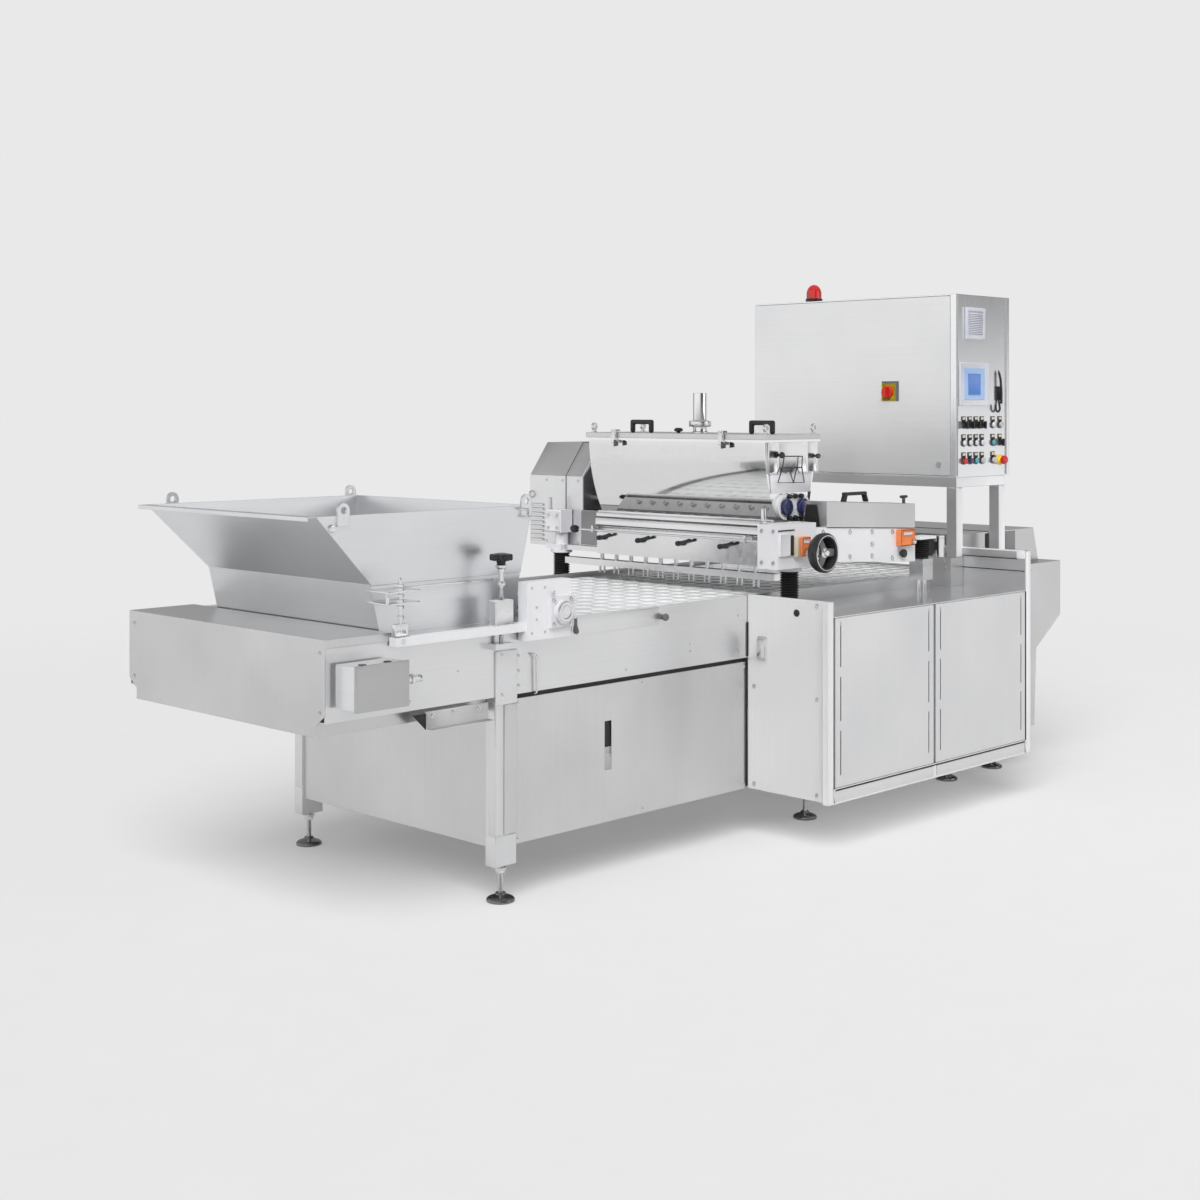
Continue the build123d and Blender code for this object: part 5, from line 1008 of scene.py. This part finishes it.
# Hopper ledges and lug bosses on both sides, with the clamp stud and rim hook on the near side
hopper = {"ledge": (-410, -8), "shelf": (-545, -410), "stud": (-486, -56, 0), "top": (1104, 1110),
    "nuts": (1020, 1052, 1072, 1090, 1110, 1122), "lugs": ((19, near), (1016, far))}
railSpans = [(hopper["ledge"], (26, 46), hopper["top"]), (hopper["ledge"], (989, 1009), hopper["top"]),
    (hopper["shelf"], (-66, 46), hopper["top"]), (hopper["shelf"], (-66, 46), (1066, 1072))]
clampSet = [facedBlock("hopperRail", up, *span, 3, 0.8, 1.0) for span in railSpans]
studRings = [(6, 962)] + thread(5, 6, 969, 8, 22) + [(6, 1148), (4, 1154)]
clampSet.append(turned("hopperStud", hopper["stud"], up, studRings, 12))
for low in hopper["nuts"]:
    nutRings = [(10, low), (12, low + 1), (12, low + 9), (10, low + 10)]
    clampSet.append(turned("hopperNut", hopper["stud"], up, nutRings, 6))
clampSet.append(facedBlock("hopperEdge", left, (-545, -539), (-66, -54), (1072, 1104), 2, -0.5, 1))
clampSet.append(facedBlock("hopperEar", near, (-514, -460), (-64, -46), (964, 1004), 6, -3, 2))
fit(join("hopperClamp", clampSet), "machine", brightSteel)
bossRings = [(11, -2), (13, 1), (13, 4), (11, 7), (6, 8)]
bossSet = [turned("lugBoss", (-703, y, 1317), side, bossRings, 28) for y, side in hopper["lugs"]]
fit(join("lugBosses", bossSet), "machine", brightSteel)
fit(rod("rimHook", [(92, 18, 1348), (92, 6, 1348), (138, 6, 1346), (141, 6, 1342), (142, 6, 1320),
    (138, 6, 1316), (110, 6, 1318)], 3.0), "machine", brightSteel)
print("hopper done")

# Levelling roller arms: bearing screws and rings, plate screws, grease nipples and the screw block's faces
arms = {"bearing": (213, 988), "screwReach": 42, "nipple": (176, 1052), "blockHigh": (962, 1043),
    "plateScrews": ((78, 1078), (78, 922), (140, 1078), (140, 922), (100, 1010), (100, 968))}
bearingX, bearingZ = arms["bearing"]
reach = (-arms["screwReach"], arms["screwReach"])
bearingSet = []
for face, out in ((-89, -1), (1199, 1)):
    corners = [(bearingX + dx, face, bearingZ + dz) for dx in reach for dz in reach]
    bearingSet.append(screwHeads("bearingScrews", corners, (0, out, 0), 7, 6))
    bearingSet.append(hollowRing("bearingRing", (bearingX, face + out * 16, bearingZ), (0, out, 0),
        [(22, 0), (36, 0), (37, 1.5), (34, 4), (26, 4)], 40))
fit(join("bearingScrews", bearingSet), "roller_arm", brightSteel)
armScrews = [screwHeads("armScrews", [(x, face, z) for x, z in arms["plateScrews"]], side, 4, 2.5)
    for face, side in ((-75, near), (1185, far))]
fit(join("armScrews", armScrews), "roller_arm", brightSteel)
nippleRings = [(5, -8), (5, 2), (3, 4), (4, 8), (2, 11)]
nipples = [turned("greaseNipple", (arms["nipple"][0], y, arms["nipple"][1]),
    (0.2, lean, 1), nippleRings, 14) for y, lean in ((-82, -0.3), (1192, 0.3))]
fit(join("greaseNipples", nipples), "roller_arm", brightSteel)
blockFaces = []
for xs, ys in (((-79, -1), (-67, -65)), ((-82, -80), (-64, -31))):  # steel faces of the height screw's block
    blockPlate = startBlock("screwBlockPlate", xs, ys, arms["blockHigh"])
    openFaces(blockPlate, lambda centre, normal: normal.x < -0.9 or normal.y < -0.9)
    bpy.ops.mesh.inset(thickness=0.0006, depth=-0.0002, use_individual=True)
    closeEdit(blockPlate)
    blockFaces.append(soften(blockPlate, 0.6))
fit(join("screwBlockPlates", blockFaces), "roller_arm", brightSteel)
print("roller arms done")

# Clamp levers of the nozzle bar
levers = {"x": 1382, "ys": (197, 429, 661, 893), "z": 1132, "gripAxis": (0, -0.966, 0.259)}
for number, y in enumerate(levers["ys"], 1):
    base = turned("clampLever%d" % number, (levers["x"], y, levers["z"]),
        right, [(9, 0), (10.5, 2), (11, 8), (11, 20), (9, 26), (7, 28)], 28)
    grip = turned("clampLeverGrip", (levers["x"] + 9, y, levers["z"]),
        levers["gripAxis"], [(7, 4), (6, 14), (5.2, 30), (6.2, 48), (7.2, 62), (6.5, 69), (3, 72)], 24)
    bolt = turned("clampLeverBolt", (levers["x"], y, levers["z"]),
        left, [(4.5, -1), (4.5, 1.2), (3, 1.6)], 12)
    lever = join("clampLever%d" % number, [base, grip, bolt])
    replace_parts(fit(lever, "clamp_lever_%d" % number, blackPlastic),
        "clamp_lever_%d" % number)
print("clamp levers done")

# Side cabinet: keyhole, latch, screws, plinth, posts, dark plates of painted shade behind the door slots,
# end panel trim, portal faces and a dark hood plate of painted shade
cabinet = {"side": 1297.5, "plinth": (1312, 2676), "brackets": ((1301, 1311), (2677.5, 2687)),
    "boards": ((1312, 1972), (1998, 2676)), "doors": {"left": (1315, 1977), "right": (1993, 2685)},
    "slot": (30.5, 46), "portal": (((2637, 2685), (1033, 1343)),
    ((2991, 3039), (962, 1343)), ((2637, 3039), (1345, 1387)))}
fit(turned("cabinetKeyhole", (cabinet["side"], -272, 906),
    left, [(14, 0), (14, 1.5), (12, 2), (10, 0.8)], 32), "machine", blackPlastic)
fit(facedBlock("cabinetLatch", left, (1290, 1300), (-126, -80), (708, 800), 10, 0, 4, 3, drawn=16),
    "machine", brightSteel)
cabinetSpots = ((-370, 215), (-370, 583), (-370, 940), (-60, 215), (-60, 600))
fit(screwHeads("cabinetScrews", [(cabinet["side"], y, z) for y, z in cabinetSpots], left, 7, 4),
    "machine", brightSteel)
hingeSpans = [(near, xs, (-449, -445), (196, 247)) for xs in cabinet["brackets"]]
doorHinges = facedSet("doorHinges", hingeSpans, 2.2, -1.5, 0.8)
fit(screwHeads("endPanelScrews", [(2726, y, z) for y in (-400, -70) for z in (230, 620, 1030)],
    right, 7, 4), "machine", brightSteel)
fit(doorHinges, "machine", brightSteel)
fit(facedBlock("cabinetPost", near, (1978, 1980.6), (-443, -422), (252, 898), 0.7, -0.4, 0.4),
    "machine", whiteAlloy)
boards = [(near, xs, (-448, -445), (198, 240)) for xs in cabinet["boards"]]
fit(facedSet("plinthBoards", boards, 4, -1.2, 1.0), "machine", steelAlong)
fit(facedBlock("plinthGap", near, cabinet["plinth"], (-446.5, -444), (240, 245), 1, -0.4),
    "machine", blackRubber)
cornerPost = startBlock("cabinetCorner", (1268, 1302.5), (-445.5, -419), (190.5, 961))
for side in (left, near):
    insetFace(cornerPost, side, 4, -1.2)
fit(soften(cornerPost, 1.0), "machine", panelSteel)
fit(facedBlock("cabinetSidePanel", left, (cabinet["side"], 1300), (-418, -28), (192, 960), 3, -0.6, 0.6),
    "machine", panelSteel)
slotIn, slotOut = cabinet["slot"]
for side, (low, high) in cabinet["doors"].items():  # black plates behind the doors' slots: painted shade of the cabinet's inside
    slotShades = [(near, xs, (-441.8, -440), (283, 867))
        for xs in ((low + slotIn, low + slotOut), (high - slotOut, high - slotIn))]
    fit(facedSet(side + "DoorSlotShades", slotShades, 2, -0.5, 0.4),
        "cabinet_door_" + side, blackRubber)
fit(facedBlock("endGap", near, (2685.8, 2692), (-446.5, -443), (250, 898), 1, -0.4),
    "machine", blackRubber)
endTrim = {  # the end panel's rail, pale edges and dark seams
    "endPanelRail": (steelMatt, [(left, (2680, 2688), (-405, -30), (1042, 1070))]),
    "endPanelTrim": (clearAlloy, [(left, (2679, 2688), (-444, -406), (1040, 1070)),
                                  (left, (2680, 2690), (-444, -30), (1070.5, 1076)),
                                  (left, (2692.5, 2726), (-448, -445), (192, 1072))]),
    "endPanelSeams": (steelDark, [(left, (2684, 2688), (-404, -30), (1036, 1040)),
                                  (left, (2684, 2688), (-440, -130), (984, 988))])}
for name, (finish, blocks) in endTrim.items():
    fit(facedSet(name, blocks, 1.2, 0.4, 0.8), "machine", finish)
portalFaces = [(near, xs, (-128, -125), zs) for xs, zs in cabinet["portal"]]
fit(facedSet("portalFaces", portalFaces, 3, -0.8, 0.8), "machine", clearAlloy)
# a dark plate on the hood's near face: painted shade
fit(facedBlock("hoodShadePlate", near, (3212, 3296), (-27, -24.5), (964, 1113), 3, -1, 0.6),
    "machine", paintedShadeSteel)
print("side cabinet done")

# Gear cover: seam, darker brow sheets that paint shade on its slope, louvres, screws and lift eye, and the
# far column block
gear = {"seamY": 1216, "louvres": 9, "louvreLow": 1092,
    "louvrePitch": 20, "browYs": ((1113, 1214), (1218, 1450))}
seamRoute = [(x, gear["seamY"], z) for x, z in ((1503, 1072), (1503, 1390), (1613, 1541), (1890, 1541))]
fit(rod("gearSeam", seamRoute, 1.8, 8), "head", steelDark)
browOut = gearSlope.normalized()
browSet = []
for ys in gear["browYs"]:
    brow = startBlock("gearBrowShade", (1498, 1612), ys, (1392, 1545))
    for offset, side in ((1.8, 1), (-1.0, -1)):
        cut(brow, at(1504, 0, 1390) + browOut * offset / 1000,
            browOut * side, use_fill=True, clear_outer=True)
    browSet.append(soften(brow, 0.6))
# the brow sheets in darker matt steel: painted shade on the sloped face
fit(join("gearBrowShade", browSet), "head", steelMatt)
louvreSet = []
for step in range(gear["louvres"]):
    low = gear["louvreLow"] + gear["louvrePitch"] * step
    louvre = startBlock("gearLouvre", (1496, 1505), (1362, 1446), (low, low + 9))
    louvreSet.append(soften(lowerFace(louvre, left, 4), 2.5, 3))
fit(join("gearLouvres", louvreSet), "head", steelUp)
fit(screwHeads("gearScrews", [(1504, y, z) for y in (1140, 1240, 1345) for z in (1090, 1370)], left, 6, 3),
    "head", brightSteel)
fit(hollowRing("gearLiftEye", (1500, 1440, 1300),
    near, [(11, -4), (17, -4), (18, 0), (17, 4), (11, 4), (10, 0)], 28), "head", brightSteel)
fit(facedBlock("farBlockPlate", left, (1424, 1430), (1180, 1268), (1143, 1234), 4, -1.5, 1.2),
    "head", whiteAlloy)
fit(screwHeads("farBlockScrews", [(1424, y, z) for y in (1196, 1250) for z in (1160, 1216)], left, 6, 4),
    "head", brightSteel)
fit(turned("farBlockPost", (1446, 1258, 0), up,
    [(12, 1240), (12, 1244), (8, 1246), (8, 1290), (5, 1294)], 24), "head", brightSteel)
print("gear cover done")

# Portal screws and washers, hood seam and gap, and the housing's screws
portal = {"xs": (2661, 3015), "ys": (-100, 1210), "housingXs": (2790, 3060, 3280), "housingZs": (230, 930)}
fit(screwHeads("portalScrews", [(2590, y, z) for y in portal["ys"] for z in (990, 1015)], left, 6, 4),
    "machine", brightSteel)
washers = [turned("portalWasher", (x, y, 0), down, [(30, -1344), (30, -1338), (27, -1336)], 24)
    for x in portal["xs"] for y in portal["ys"]]
fit(rod("hoodSeam", [(3060, y, z) for y, z in ((-26, 962), (-26, 1121), (1136, 1121), (1136, 962))],
    2.0, 8), "machine", steelDark)
fit(facedBlock("hoodGap", near, (3036, 3074), (-28, -25), (966, 1112), 3, -1, 0.8),
    "machine", blackRubber)
fit(join("portalWashers", washers), "machine", steelUp)
housingSpots = [(x, z) for x in portal["housingXs"] for z in portal["housingZs"]]
fit(screwHeads("housingScrews", [(x, -116, z) for x, z in housingSpots], near, 7, 4),
    "machine", brightSteel)
print("portal and hood done")

# Far side: back panel of the electrical cabinet, screws of the far sheets and the gear cover's door
back = {"cabinet": ((3080, 3082.5), (-96, 1006), (1418, 2182)),
    "gear": ((1532, 1864), (1453, 1455), (1096, 1376)), "strip": ((345, 1180), (1135, 1137), (886, 952))}
fit(facedBlock("cabinetBack", right, *back["cabinet"], 12, -1.2, 1.0), "machine", cabinetSteel)
backSpots = [(3081.3, y, z) for y in (-72, 455, 982) for z in (1442, 1800, 2158)]
fit(screwHeads("cabinetBackScrews", backSpots, right, 7, 4), "machine", brightSteel)
fit(facedBlock("gearDoor", far, *back["gear"], 8, -1.0, 0.8), "head", steelUp)
gearDoorSpots = [(x, 1454, z) for x in (1552, 1698, 1844) for z in (1114, 1358)]
fit(screwHeads("gearDoorScrews", gearDoorSpots, far, 6, 3), "head", brightSteel)
fit(facedBlock("farStrip", far, *back["strip"], 2, 0.5, 0.8), "machine", steelAlong)
farSkirtSpots = [(x, 1128, z) for x in (66, 850, 1634, 1766, 2230, 2684) for z in (206, 676)]
farSideSpots = [(x, 1135, z) for x in (-420, 60, 600, 1240, 2020) for z in (740, 868)]
farScrewSet = [screwHeads("farSkirtScrews", farSkirtSpots, far, 6, 3),
    screwHeads("farSideScrews", farSideSpots, far, 5, 3),
    screwHeads("farHousingScrews", [(x, 1226, z) for x, z in housingSpots], far, 7, 4)]
fit(join("farScrews", farScrewSet), "machine", brightSteel)
print("far side done")
